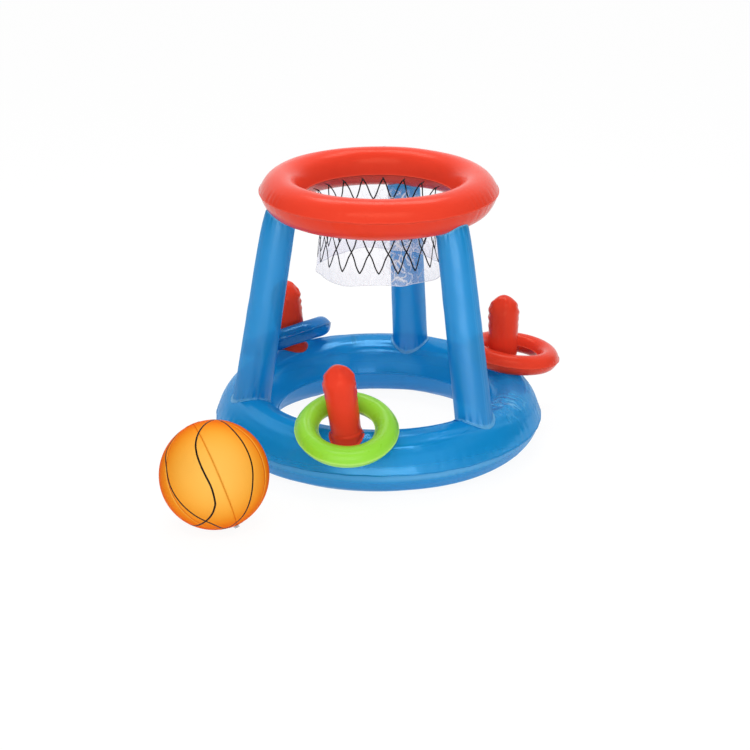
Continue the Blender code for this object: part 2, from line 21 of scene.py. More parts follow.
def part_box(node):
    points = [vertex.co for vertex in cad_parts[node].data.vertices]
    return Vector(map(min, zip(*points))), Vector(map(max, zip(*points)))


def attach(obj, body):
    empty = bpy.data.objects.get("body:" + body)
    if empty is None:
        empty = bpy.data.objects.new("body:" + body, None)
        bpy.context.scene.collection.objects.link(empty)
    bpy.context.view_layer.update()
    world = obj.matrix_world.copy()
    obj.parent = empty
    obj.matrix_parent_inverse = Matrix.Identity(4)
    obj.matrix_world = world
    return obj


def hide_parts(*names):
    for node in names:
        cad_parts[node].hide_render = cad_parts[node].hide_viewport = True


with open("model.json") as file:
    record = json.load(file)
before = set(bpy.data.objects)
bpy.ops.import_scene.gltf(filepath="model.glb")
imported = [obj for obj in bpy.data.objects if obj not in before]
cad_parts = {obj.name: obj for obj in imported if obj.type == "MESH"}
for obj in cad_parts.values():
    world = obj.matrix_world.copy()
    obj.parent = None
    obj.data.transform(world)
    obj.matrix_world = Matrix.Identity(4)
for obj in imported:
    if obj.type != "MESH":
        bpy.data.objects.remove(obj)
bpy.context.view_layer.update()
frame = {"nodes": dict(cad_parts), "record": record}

log = logging.getLogger("pool_basketball_set")
TAU = 2 * math.pi
MM = 0.001

# Thickness of a sheet, and the space left between two sheets that are welded together
SHEET_WALL = 0.3 * MM
SHEET_GAP = 0.3 * MM
# The side that the photograph was taken from
PHOTO_AZIMUTH = math.radians(15)


# ---------------------------------------------------------------- shapes


def ripples(angle: np.ndarray, seed: int, low: int, high: int, count: int = 7) -> np.ndarray:
    """A smooth random wave round a closed line.

    It is a sum of cosines, each with a whole number of waves round the line and a random phase,
    over the square root of their number.

    Args:
        angle: angles round the line.
        seed: seed of the random draws.
        low: least number of waves.
        high: greatest number of waves.
        count: how many cosines.

    Returns:
        The wave at each angle, mostly between -1 and 1.
    """
    draw = np.random.default_rng(seed)
    waves = draw.integers(low, high + 1, count)
    phases = draw.uniform(0, TAU, count)
    total = sum(np.cos(wave * angle + phase) for wave, phase in zip(waves, phases))
    return total / math.sqrt(count)


def crumple(across: np.ndarray, along: np.ndarray, seed: int, length: float,
            count: int = 9) -> np.ndarray:
    """Crossing creases on a flat patch.

    The height is the mean of the absolute values of several plane waves, less that mean's own
    mean, times a gain that brings it to about 1.

    Args:
        across: distance in one direction, in metres.
        along: distance in the other direction.
        seed: seed of the random draws.
        length: typical distance between creases.
        count: how many waves cross.

    Returns:
        The height, from about -1 to 1, with sharp valleys where a wave passes through zero.
    """
    shortest, longest = 0.7, 1.6
    mean, gain = 0.64, 3
    draw = np.random.default_rng(seed)
    total = 0
    for _ in range(count):
        turn = draw.uniform(0, TAU)
        size = TAU / (length * draw.uniform(shortest, longest))
        phase = draw.uniform(0, TAU)
        total = total + np.abs(np.cos(size * (across * math.cos(turn) + along * math.sin(turn)) / 2
                                      + phase))
    return (total / count - mean) * gain


def fold_lines(across: np.ndarray, along: np.ndarray, seed: int, length: float,
               count: int = 6) -> np.ndarray:
    """Sharp fold lines on a flat patch, which cross each other and come and go along their way.

    For each direction there is a bell round each zero of a plane wave whose phase sways along the
    line. It is multiplied by a slower wave along the line, and the strongest direction counts.

    Args:
        across: distance in one direction, in metres.
        along: distance in the other direction.
        seed: seed of the random draws.
        length: typical distance between the lines of one direction.
        count: how many directions cross.

    Returns:
        1 on a line, falling to 0 beside it.
    """
    shortest, longest = 0.7, 1.5
    sway, sway_rate = 0.5, 1.7
    sharpness, presence, fade_rate = 0.16, 0.35, 0.9
    draw = np.random.default_rng(seed)
    lines = 0 * (across + along)
    for _ in range(count):
        turn, phase, other = draw.uniform(0, TAU, 3)
        size = math.pi / (length * draw.uniform(shortest, longest))
        run = size * (across * math.cos(turn) + along * math.sin(turn))
        cut = size * (across * math.sin(turn) - along * math.cos(turn))
        line = bell(np.cos(run + sway * np.cos(sway_rate * cut + other) + phase), sharpness)
        shown = np.clip(presence + np.cos(fade_rate * cut + phase), 0, 1)
        lines = np.maximum(lines, line * shown)
    return lines


def bell(distance: np.ndarray, width: float) -> np.ndarray:
    """A bump that is 1 at distance 0 and fades as exp(-(distance / width) squared)."""
    return np.exp(-(distance / width) ** 2)


def turned(points: np.ndarray, tilt: float, azimuth: float) -> np.ndarray:
    """Points tipped by tilt about +Y and then turned by azimuth about +Z."""
    turn = np.array(Matrix.Rotation(azimuth, 3, "Z") @ Matrix.Rotation(tilt, 3, "Y"))
    return points @ turn.T


def above_floor(points: np.ndarray, softness: float = 1.2 * MM) -> np.ndarray:
    """Points whose height is kept above the floor, where a soft piece flattens on it.

    The height becomes the mean of itself and of its distance from the floor, softened so that the
    flat patch has no sharp edge.
    """
    lifted = points.copy()
    height = points[..., 2] - SHEET_WALL
    lifted[..., 2] = SHEET_WALL + (height + np.sqrt(height ** 2 + softness ** 2)) / 2
    return lifted


@dataclass
class Surface:
    """Points on a grid, the faces that join them, and one number a point for each named value."""

    points: np.ndarray
    wrap_rows: bool = False
    wrap_columns: bool = False
    flip: bool = False
    keep: np.ndarray | None = None
    tip: np.ndarray | None = None
    values: dict[str, np.ndarray] = field(default_factory=dict)

    def faces(self) -> np.ndarray:
        """Quads between neighbouring rows and columns, with the ones that aren't kept left out."""
        rows, columns = self.points.shape[:2]
        row, column = np.meshgrid(np.arange(rows - (not self.wrap_rows)),
                                  np.arange(columns - (not self.wrap_columns)), indexing="ij")
        next_row, next_column = (row + 1) % rows, (column + 1) % columns
        quads = np.stack([row * columns + column, next_row * columns + column,
                          next_row * columns + next_column, row * columns + next_column], axis=-1)
        if self.keep is not None:
            quads = quads[self.keep[:quads.shape[0], :quads.shape[1]]]
        quads = quads.reshape(-1, 4)
        return quads[:, ::-1] if self.flip else quads

    def mesh(self, name: str) -> bpy.types.Mesh:
        """The grid as a mesh, with unused points dropped and the tip closed by a fan of triangles.

        Args:
            name: the mesh's name.

        Returns:
            The mesh, smooth shaded.
        """
        points = self.points.reshape(-1, 3)
        quads = self.faces()
        used, packed = np.unique(quads, return_inverse=True)
        faces = packed.reshape(-1, 4).tolist()
        place = points[used]
        if self.tip is not None:
            rows, columns = self.points.shape[:2]
            rim = np.arange((rows - 1) * columns, rows * columns)
            order = np.searchsorted(used, rim)
            after = np.roll(order, -1)
            ends = (after, order) if self.flip else (order, after)
            top = np.full(columns, len(place))
            faces += np.stack([ends[0], top, ends[1]], axis=-1)[:, ::-1].tolist()
            place = np.vstack([place, self.tip])
        mesh = bpy.data.meshes.new(name)
        mesh.from_pydata(place.tolist(), [], faces)
        for label, value in self.values.items():
            numbers = np.broadcast_to(value, self.points.shape[:2]).reshape(-1)[used]
            if self.tip is not None:
                numbers = np.append(numbers, numbers[-1])
            mesh.attributes.new(label, "FLOAT", "POINT").data.foreach_set(
                "value", numbers.astype(np.float32))
        mesh.shade_smooth()
        mesh.validate()
        return mesh


def revolved(profile: np.ndarray, steps: int) -> np.ndarray:
    """A (radius, height) profile turned round +Z: rows go round, columns follow the profile."""
    angle = np.linspace(0, TAU, steps, endpoint=False)[:, None]
    radius, height = profile[None, :, 0], profile[None, :, 1]
    return np.stack([radius * np.cos(angle), radius * np.sin(angle),
                     np.broadcast_to(height, (steps, len(profile)))], axis=-1)


def join_meshes(name: str, meshes: list[bpy.types.Mesh]) -> bpy.types.Mesh:
    """Several meshes as one, with their float values kept.

    Args:
        name: name of the joined mesh.
        meshes: what is joined; they are removed.

    Returns:
        The joined mesh.
    """
    place, faces, labels = [], [], set()
    for mesh in meshes:
        labels |= {value.name for value in mesh.attributes
                   if value.data_type == "FLOAT" and value.domain == "POINT"}
    values = {label: [] for label in labels}
    for mesh in meshes:
        start = len(place)
        numbers = np.empty(len(mesh.vertices) * 3)
        mesh.vertices.foreach_get("co", numbers)
        place += numbers.reshape(-1, 3).tolist()
        faces += [[start + corner for corner in face.vertices] for face in mesh.polygons]
        for label in labels:
            found = np.zeros(len(mesh.vertices), dtype=np.float32)
            if label in mesh.attributes:
                mesh.attributes[label].data.foreach_get("value", found)
            values[label].append(found)
    joined = bpy.data.meshes.new(name)
    joined.from_pydata(place, [], faces)
    for label, parts in values.items():
        joined.attributes.new(label, "FLOAT", "POINT").data.foreach_set("value",
                                                                        np.concatenate(parts))
    joined.shade_smooth()
    for mesh in meshes:
        bpy.data.meshes.remove(mesh)
    return joined


# ---------------------------------------------------------------- finishes


def linear(hex_colour: str) -> tuple[float, float, float, float]:
    """An sRGB hex colour as linear red, green, blue and alpha."""
    shares = [int(hex_colour[i:i + 2], 16) / 255 for i in (1, 3, 5)]
    red, green, blue = (share / 12.92 if share <= 0.04045 else ((share + 0.055) / 1.055) ** 2.4
                        for share in shares)
    return red, green, blue, 1.0


def node(tree: bpy.types.NodeTree, kind: str, links: dict[str | int, object] | None = None,
         **settings: object) -> bpy.types.Node:
    """Add a node with its settings, and feed its inputs.

    Args:
        tree: the material's or world's node tree.
        kind: the node's type, without the word ShaderNode.
        links: for each input by name or number, a socket to link or a value to set.
        settings: properties of the node.

    Returns:
        The node.
    """
    made = tree.nodes.new(f"ShaderNode{kind}")
    for name, value in settings.items():
        setattr(made, name, value)
    for name, source in (links or {}).items():
        if isinstance(source, bpy.types.NodeSocket):
            tree.links.new(source, made.inputs[name])
        else:
            made.inputs[name].default_value = source
    return made


class Cover(Enum):
    """How much of what is behind a finish shows through it."""

    SOLID = "solid"
    TINTED = "tinted"
    CLEAR = "clear"


@dataclass(frozen=True)
class Vinyl:
    """Calendered PVC sheet: smooth, slightly uneven in gloss, with welds pressed by a hot bar.

    The plasticised sheet has an IOR of about 1.53. An opaque one has a weak and soft gloss, because
    the rolls leave it faintly rough and oily. A translucent one also reflects from its far face, so
    its gloss is stronger and takes on its colour. The weld is darker or paler than the sheet and
    less clear, because both sheets are fused there. The weld colour and its clearness also go to
    painted light that rides on the weld value: highlight streaks on the base ring's creases, a
    reflection beside its outer weld and glints on the crumpled film. A skin is a clear tinted layer
    whose colour deepens where it is seen slantwise.
    """

    # Size of the clouds in the colour and of the patches in the gloss, and how far it drifts
    CLOUD, PATCH, DRIFT = 60 * MM, 25 * MM, (-0.03, 0.05)
    # Height of the rolls' texture, and IOR of the skin
    RELIEF, SKIN_IOR = 0.2 * MM, 1.05

    name: str
    body: str
    shade: str
    weld: str
    cover: Cover = Cover.SOLID
    through: str = "#FFFFFF"
    see: float = 0.0
    weld_see: float = 0.6
    roughness: float = 0.34
    specular: float = 0.3
    gloss: str = "#FFFFFF"
    ior: float = 1.53
    skin: str = "#FFFFFF"
    grain: float = 1.4
    bump: float = 0.03

    def material(self) -> bpy.types.Material:
        """The finish as a material.

        The colour drifts between body and shade in soft clouds, the welds take their own colour,
        and so do the painted highlights, reflections and glints that ride on the weld value, and the
        surface has the faint texture of the rolls.

        Returns:
            The material.
        """
        made = bpy.data.materials.new(self.name)
        made.use_nodes = True
        tree = made.node_tree
        shader = tree.nodes["Principled BSDF"]
        place = node(tree, "TexCoord").outputs["Object"]
        cloud = node(tree, "TexNoise", {"Vector": place, "Scale": 1 / self.CLOUD, "Detail": 2.0})
        colour = node(tree, "Mix", {0: cloud.outputs["Fac"], 6: linear(self.body),
                                    7: linear(self.shade)}, data_type="RGBA")
        # The weld value carries the welds and also painted highlights, reflections and glints
        weld = node(tree, "Attribute", attribute_name="weld")
        welded = node(tree, "Mix", {0: weld.outputs["Fac"], 6: colour.outputs[2],
                                    7: linear(self.weld)}, data_type="RGBA")
        tree.links.new(welded.outputs[2], shader.inputs["Base Color"])

        gloss = node(tree, "TexNoise", {"Vector": place, "Scale": 1 / self.PATCH, "Detail": 3.0})
        low, high = (self.roughness + drift for drift in self.DRIFT)
        rough = node(tree, "MapRange", {"Value": gloss.outputs["Fac"], "From Min": 0.3,
                                        "From Max": 0.7, "To Min": low, "To Max": high})
        tree.links.new(rough.outputs["Result"], shader.inputs["Roughness"])
        rolls = node(tree, "TexNoise", {"Vector": place, "Scale": 1 / (self.grain * MM),
                                        "Detail": 1.0})
        relief = node(tree, "Bump", {"Height": rolls.outputs["Fac"], "Strength": self.bump,
                                     "Distance": self.RELIEF})
        tree.links.new(relief.outputs["Normal"], shader.inputs["Normal"])

        shader.inputs["IOR"].default_value = self.ior
        shader.inputs["Specular IOR Level"].default_value = self.specular
        shader.inputs["Specular Tint"].default_value = linear(self.gloss)
        if self.skin != "#FFFFFF":
            shader.inputs["Coat Weight"].default_value = 1.0
            shader.inputs["Coat Roughness"].default_value = self.roughness
            shader.inputs["Coat IOR"].default_value = self.SKIN_IOR
            shader.inputs["Coat Tint"].default_value = linear(self.skin)
        if self.cover is not Cover.SOLID:
            clear = node(tree, "BsdfTransparent", {"Color": linear(self.through)})
            share = node(tree, "MapRange", {"Value": weld.outputs["Fac"], "To Min": self.see,
                                            "To Max": self.see * self.weld_see})
            blend = node(tree, "MixShader", {0: share.outputs["Result"], 1: shader.outputs[0],
                                             2: clear.outputs[0]})
            tree.links.new(blend.outputs[0], tree.nodes["Material Output"].inputs["Surface"])
        return made


@dataclass(frozen=True)
class Ink:
    """Screen ink for vinyl: a thin, matt, nearly black layer that thins out here and there."""

    name: str
    body: str
    thin: str
    patch: float = 4.0
    roughness: float = 0.5
    specular: float = 0.15

    def material(self) -> bpy.types.Material:
        """The ink as a material, thinner in spots about 4 mm long."""
        made = bpy.data.materials.new(self.name)
        made.use_nodes = True
        tree = made.node_tree
        shader = tree.nodes["Principled BSDF"]
        place = node(tree, "TexCoord").outputs["Object"]
        spots = node(tree, "TexNoise", {"Vector": place, "Scale": 1 / (self.patch * MM),
                                        "Detail": 2.0})
        share = node(tree, "MapRange", {"Value": spots.outputs["Fac"], "From Min": 0.45,
                                        "From Max": 0.75})
        colour = node(tree, "Mix", {0: share.outputs["Result"], 6: linear(self.body),
                                    7: linear(self.thin)}, data_type="RGBA")
        tree.links.new(colour.outputs[2], shader.inputs["Base Color"])
        shader.inputs["Roughness"].default_value = self.roughness
        shader.inputs["Specular IOR Level"].default_value = self.specular
        return made


# The base ring's blue is smooth and shows streaks, partly its own gloss and partly highlight
# streaks painted in its pale weld colour along its creases, a colour which also paints a
# reflection beside its outer weld. The same blue on the legs is softer
BLUE = Vinyl("blue_translucent_pvc", "#04B0EA", "#04A9E4", "#7CCEF6", Cover.TINTED, "#ACE6FC",
             0.59, roughness=0.17, specular=1.0, gloss="#98D8FF", ior=1.75)
TUBE_BLUE = Vinyl("blue_translucent_pvc_tube", "#04B0EA", "#04A9E4", "#7CCEF6", Cover.TINTED,
                  "#ACE6FC", 0.59, roughness=0.31, specular=1.0, gloss="#D0ECFF", ior=1.75)
PALE_BLUE = Vinyl("deep_blue_translucent_pvc", "#0898DE", "#0890D4", "#0A70BC", Cover.TINTED,
                  "#A0DAF6", 0.6, roughness=0.16, specular=1.0, gloss="#B4E2FF")
# The red's weld colour is a little paler than the sheet: painted light that lifts the shade in the
# welds' grooves
RED = Vinyl("red_pvc", "#EE452E", "#E83F2A", "#F04E38", roughness=0.2, specular=0.22,
            gloss="#FF9C7C")
GREEN = Vinyl("green_pvc", "#98E23A", "#90DC38", "#B8F070", roughness=0.28, specular=0.3)
ORANGE = Vinyl("orange_pvc", "#FFFFE0", "#FFFCD4", "#FCE4B0", roughness=0.5, specular=0.35,
               skin="#FCBF66")
# The film's white weld colour paints glints on its crumpled folds and pales its hem
FILM = Vinyl("clear_pvc_film", "#EEF1FB", "#E6EAF9", "#FDFDFF", Cover.CLEAR, "#FDFDFF", 0.99,
             roughness=0.12, specular=0.4, weld_see=0.2)
MOULDING = Vinyl("soft_clear_pvc_moulding", "#E6EEF6", "#DCE6F0", "#FFFFFF", Cover.CLEAR,
                 "#F4F8FC", 0.5, roughness=0.25, specular=0.6)
NET_INK = Ink("net_print_ink", "#0E0A0A", "#2C2422")
BALL_INK = Ink("ball_print_ink", "#120806", "#241008")


@dataclass
class Dresser:
    """Makes shown pieces out of meshes, with one material for each finish."""

    made: dict[str, bpy.types.Material] = field(default_factory=dict)
    count: int = 0

    def finish(self, look: Vinyl | Ink) -> bpy.types.Material:
        """The material of a finish, made once."""
        if look.name not in self.made:
            self.made[look.name] = look.material()
        return self.made[look.name]

    def piece(self, name: str, mesh: bpy.types.Mesh, look: Vinyl | Ink, body: str,
              stands_for: tuple[str, ...] = (), wall: float = SHEET_WALL) -> bpy.types.Object:
        """Put a mesh in the scene as a piece of the object.

        Args:
            name: the piece's name.
            mesh: its mesh, in the frame's own place.
            look: its finish.
            body: the CAD body that it rides on.
            stands_for: CAD nodes that it replaces.
            wall: thickness that the surface gets, half to each side, or 0 for a closed mesh.

        Returns:
            The piece.
        """
        thing = bpy.data.objects.new(name, mesh)
        bpy.context.scene.collection.objects.link(thing)
        mesh.materials.append(self.finish(look))
        if wall:
            solid = thing.modifiers.new("wall", "SOLIDIFY")
            solid.thickness = wall
            solid.offset = 0
        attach(thing, body)
        if stands_for:
            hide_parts(*stands_for)
        self.count += 1
        log.info("%s: %d faces, rides %s", name, len(mesh.polygons), body)
        return thing


# ---------------------------------------------------------------- inflated rings


@dataclass(frozen=True)
class Hole:
    """A round hole in a sheet: a point on its axis, the axis and the radius."""

    point: tuple[float, float, float]
    axis: tuple[float, float, float]
    radius: float


@dataclass(frozen=True)
class Crease:
    """A creased patch of a ring: azimuth, distance in from the crown, reach and depth."""

    azimuth: float
    middle: float
    reach: float
    depth: float


@dataclass
class InflatedRing:
    """Two flat annuli of vinyl welded along both edges and blown up.

    The section is a circle that is drawn out to a point at each weld, with a narrow flat edge
    beyond it. The sheet is too wide for the outer weld, so it puckers there. Where the seam lies
    above or below the middle, one sheet bulges more than the other.
    """

    # How the steps of the section crowd towards the welds
    CROWDING = 0.45
    # Puckers at the outer weld: their mean, and mean, swing and least of their strength
    FOLD_MEAN = 0.35
    STRENGTH = (0.75, 0.6, 0.15)
    # Puckers at the inner weld: their mean, and their depth as a share of the outer ones
    INNER_FOLD_MEAN = 0.3
    INNER_DEPTH = 0.4
    # Greatest share of its height that a sheet loses to puckers
    PINCH_MOST = 0.75
    # Creased patches: crease and fold distance as shares of their reach, and the depth scale of the
    # painted highlight streaks along their folds, and the share of it below which none is painted
    CREASE_LENGTH = 0.4
    FOLD_LENGTH = 0.7
    PAINTED_STREAK_DEPTH = 1.5 * MM
    PAINTED_STREAK_FROM = 0.4
    # Shares of the slack that run on across the section and that widen it
    CROSS_SLACK, WIDE_SLACK = 0.5, 0.3
    # Waves along the ring: turns across the section, sway, and mean and swing of their strength
    WAVE_SLANT, WAVE_SWAY, WAVE_STRENGTH = 2, 0.5, (0.8, 0.4)
    # Scallops of the outer weld, as a share of its sway
    SCALLOP = 0.5
    # Width of the paler line along a weld, and place and width of the margin beside the outer
    # weld where a reflection is painted
    WELD_LINE = 2 * MM
    MARGIN = (7 * MM, 9 * MM)
    # Strength of the painted reflection in the margin: mean and swing from sheet to sheet, and mean
    # and swing round the ring
    MARGIN_SIDES, MARGIN_STRENGTH = (0.6, 0.4), (0.85, 0.35)
    # How far along its axis a hole cuts, as a share of the tube's radius
    HOLE_REACH = 0.4

    label: str
    body: str
    slot: str
    look: Vinyl
    centre: tuple[float, float, float]
    radius: float
    tube_radius: float
    weld_edge: float
    tilt: float = 0.0
    azimuth: float = 0.0
    flange: float = 1.2 * MM
    outer_lift: float = 0.0
    inner_lift: float = 0.0
    point_share: float = 0.1
    point_reach: float = 0.66
    pucker_depth: float = 0.3
    pucker_fade: float = 9 * MM
    pucker_length: float = 16 * MM
    weld_sway: float = 0.5 * MM
    slack: float = 0.006
    wave_height: float = 0.0
    inner_gap: float = SHEET_GAP
    steps: int = 480
    section_steps: int = 40
    seed: int = 1
    holes: tuple[Hole, ...] = ()
    creases: tuple[Crease, ...] = ()
    weld_pale: float = 1.0
    margin_painted_reflection: float = 0.0
    on_floor: bool = False

    def section(self, slope: np.ndarray) -> tuple[np.ndarray, np.ndarray]:
        """Half of the section from the outer weld over the crown to the inner weld.

        The height is the tube's radius times the sine of the slope. The reach outwards is a
        slightly narrower ellipse, plus a point whose length grows with the square of the nearness
        to the weld.

        Args:
            slope: angle from the outer weld, 0, to the inner one, pi.

        Returns:
            The distance outwards from the tube's middle, and the height above it.
        """
        point = self.point_share * self.tube_radius
        narrow = self.tube_radius + self.weld_edge - self.flange - point
        near = np.minimum(slope, math.pi - slope) / self.point_reach
        drawn = point * np.clip(1 - near, 0, 1) ** 2
        return narrow * np.cos(slope) + np.sign(np.cos(slope)) * drawn, \
            self.tube_radius * np.sin(slope)

    def lift(self, slope: np.ndarray) -> np.ndarray:
        """Height of the line between the welds, which may lie off the middle plane at its ends."""
        return (self.outer_lift + self.inner_lift) / 2 \
            + (self.outer_lift - self.inner_lift) / 2 * np.cos(slope)

    def bulge(self, slope: np.ndarray, side: int) -> np.ndarray:
        """How high one sheet stands over that line, as a share of the tube's radius."""
        return 1 - side * self.lift(slope) / self.tube_radius

    def height_at(self, out: np.ndarray, side: int) -> np.ndarray:
        """Height of one sheet's smooth section above the ring's middle, upwards for side 1."""
        slope = np.linspace(0, math.pi, 400)
        reach, rise = self.section(slope)
        height = side * self.lift(slope) + self.bulge(slope, side) * rise
        return np.interp(out, reach[::-1], height[::-1])

    def pinch(self, turn: np.ndarray, slope: np.ndarray, side: int) -> np.ndarray:
        """Share of its height that a sheet loses to puckers, which fade away from both welds.

        A pucker's depth is a ripple round the ring, never below 0, times a strength that is another
        ripple, times an exponential of the distance from the weld.

        Args:
            turn: angle round the ring.
            slope: angle round the section.
            side: 1 for the upper sheet, -1 for the lower one.

        Returns:
            The share, up to PINCH_MOST.
        """
        mean, swing, least = self.STRENGTH
        waves = self.waves()
        fold = np.clip(self.FOLD_MEAN + ripples(turn, self.seed + side, waves // 2, waves), 0,
                       None)
        strength = np.clip(mean + swing * ripples(turn, self.seed + 20, 2, 9), least, None)
        pinch = self.pucker_depth * fold * strength * self.fading(slope)
        inner_fold = np.clip(self.INNER_FOLD_MEAN + ripples(turn, self.seed + side + 5, waves // 4,
                                                            waves // 2), 0, None)
        pinch = pinch + self.INNER_DEPTH * self.pucker_depth * inner_fold \
            * self.fading(math.pi - slope)
        return np.clip(pinch, 0, self.PINCH_MOST)

    def waves(self) -> int:
        """Greatest number of puckers round the outer weld."""
        return int(TAU * (self.radius + self.tube_radius) / self.pucker_length)

    def fading(self, angle: np.ndarray) -> np.ndarray:
        """How a pucker fades with the angle round the section from its weld."""
        return np.exp(-self.tube_radius * angle / self.pucker_fade)

    def creased(self, crease: Crease, turn: np.ndarray, slope: np.ndarray) \
            -> tuple[np.ndarray, np.ndarray]:
        """What a creased patch adds: height, and painted highlight streaks along its sharpest folds.
        """
        arc = turn * self.radius
        across = (slope - math.pi / 2) * self.tube_radius
        away = (np.mod(turn - crease.azimuth + math.pi, TAU) - math.pi) * self.radius
        fade = bell(np.hypot(away, across - crease.middle), crease.reach) * np.sin(slope)
        folds = crumple(arc, across, self.seed + 80, self.CREASE_LENGTH * crease.reach)
        lines = fold_lines(arc, across, self.seed + 81, self.FOLD_LENGTH * crease.reach)
        # Painted highlight streaks along the folds, stronger where the crease is deeper
        pale = max(crease.depth / self.PAINTED_STREAK_DEPTH - self.PAINTED_STREAK_FROM, 0)
        return crease.depth * fade * folds, pale * fade * lines

    def sheet(self, side: int) -> Surface:
        """The upper sheet (side 1) or the lower one (side -1) as a grid round the ring.

        The smooth section is swollen and slackened by slow ripples, pinched by the puckers, and
        raised by waves that run along the ring and by the creased patches. Both welds sway a
        little, and the outer one is scalloped.

        Args:
            side: 1 or -1.

        Returns:
            The surface in the frame, with its weld value, which also carries painted highlight
            streaks and a painted reflection, and its holes.
        """
        share = np.linspace(0, 1, self.section_steps + 1)
        slope = math.pi * (share - self.CROWDING * np.sin(TAU * share) / TAU)[None, :]
        turn = np.linspace(0, TAU, self.steps, endpoint=False)[:, None]
        out, up = self.section(slope)
        slack = self.slack * ripples(turn, self.seed + 40 + side, 2, 11) \
            + self.slack * self.CROSS_SLACK * ripples(turn + slope, self.seed + 60 + side, 3, 14)
        grow = 1 + slack * np.sin(slope)
        up = up * self.bulge(slope, side) * grow * (1 - self.pinch(turn, slope, side))
        out = out * (1 + self.WIDE_SLACK * slack * np.sin(slope))
        run = self.WAVE_SLANT * slope + self.WAVE_SWAY * ripples(turn, self.seed + 70, 1, 4)
        mean, swing = self.WAVE_STRENGTH
        up = up + self.wave_height * np.sin(slope) * ripples(run, self.seed + 71 + side, 4, 11) \
            * (mean + swing * ripples(turn, self.seed + 75, 1, 5))
        # Painted highlight streaks of the creases, which ride on the weld value
        mark = np.zeros((self.steps, 1))
        for crease in self.creases:
            height, pale = self.creased(crease, turn, slope)
            up, mark = up + height, mark + pale

        waves = self.waves()
        sway = self.weld_sway * ripples(turn, self.seed + 100, waves // 6, waves // 3)
        scallop = self.SCALLOP * self.weld_sway * ripples(turn, self.seed + 101, waves // 3,
                                                          waves // 2)
        out = out + scallop * self.fading(slope)
        gap = np.where(slope < math.pi / 2, SHEET_GAP, self.inner_gap)
        up = np.maximum(up, (gap + SHEET_WALL) / 2)

        edge = self.tube_radius + self.weld_edge
        column = np.ones((self.steps, 1))
        out = np.hstack([edge + scallop, out, -edge * column])
        up = side * np.hstack([(SHEET_GAP + SHEET_WALL) / 2 * column, up,
                               (self.inner_gap + SHEET_WALL) / 2 * column])
        up = up + np.hstack([sway, sway * self.fading(slope), 0 * sway])
        up = up + np.hstack([[[self.outer_lift]], self.lift(slope), [[self.inner_lift]]])

        radius = self.radius + out
        points = np.stack([radius * np.cos(turn), radius * np.sin(turn), up], axis=-1)
        points = turned(points, self.tilt, self.azimuth) + np.array(self.centre)
        if self.on_floor:
            points = above_floor(points)
        weld = np.hstack([self.weld_pale * column, self.paleness(turn, slope, side, mark),
                          self.weld_pale * column])
        return Surface(points, wrap_rows=True, flip=side > 0, keep=self.kept(points),
                       values={"weld": weld})

    def paleness(self, turn: np.ndarray, slope: np.ndarray, side: int,
                 mark: np.ndarray) -> np.ndarray:
        """Weld value: weld lines, a painted reflection by the outer one, painted highlight streaks.

        Args:
            turn: angle round the ring.
            slope: angle round the section.
            side: 1 for the upper sheet, -1 for the lower one, whose painted reflection is stronger.
            mark: painted highlight streaks along the creased patches' folds.

        Returns:
            The value, from 0 to 1.
        """
        place, width = self.MARGIN
        (both, apart), (mean, swing) = self.MARGIN_SIDES, self.MARGIN_STRENGTH
        from_outer, from_inner = self.tube_radius * slope, self.tube_radius * (math.pi - slope)
        welds = bell(from_outer, self.WELD_LINE) + bell(from_inner, self.WELD_LINE)
        # Painted reflection in the margin beside the outer weld, stronger on the lower sheet
        margin = self.margin_painted_reflection * (both - apart * side) * bell(from_outer - place, width) \
            * (mean + swing * ripples(turn, self.seed + 90, 1, 5))
        return np.clip(self.weld_pale * welds + margin + mark, 0, 1)

    def kept(self, points: np.ndarray) -> np.ndarray:
        """Which quads stay: those whose middle lies outside every hole's cylinder."""
        middle = (points[:, :-1] + np.roll(points, -1, axis=0)[:, 1:]) / 2
        keep = np.ones(middle.shape[:2], dtype=bool)
        for hole in self.holes:
            axis = np.array(hole.axis)
            apart = middle - np.array(hole.point)
            along = apart @ axis
            away = np.linalg.norm(apart - along[..., None] * axis, axis=-1)
            keep &= (away > hole.radius) | (np.abs(along) > self.HOLE_REACH * self.tube_radius)
        return keep

    def build(self, dresser: Dresser) -> None:
        """Make both sheets, each in place of its CAD node."""
        for level, side in (("top", 1), ("bottom", -1)):
            name = f"{self.label}_{level}_sheet"
            dresser.piece(name, self.sheet(side).mesh(name), self.look, self.body,
                          (f"{self.label}_{level}_panel",))


# ---------------------------------------------------------------- tubes between the rings


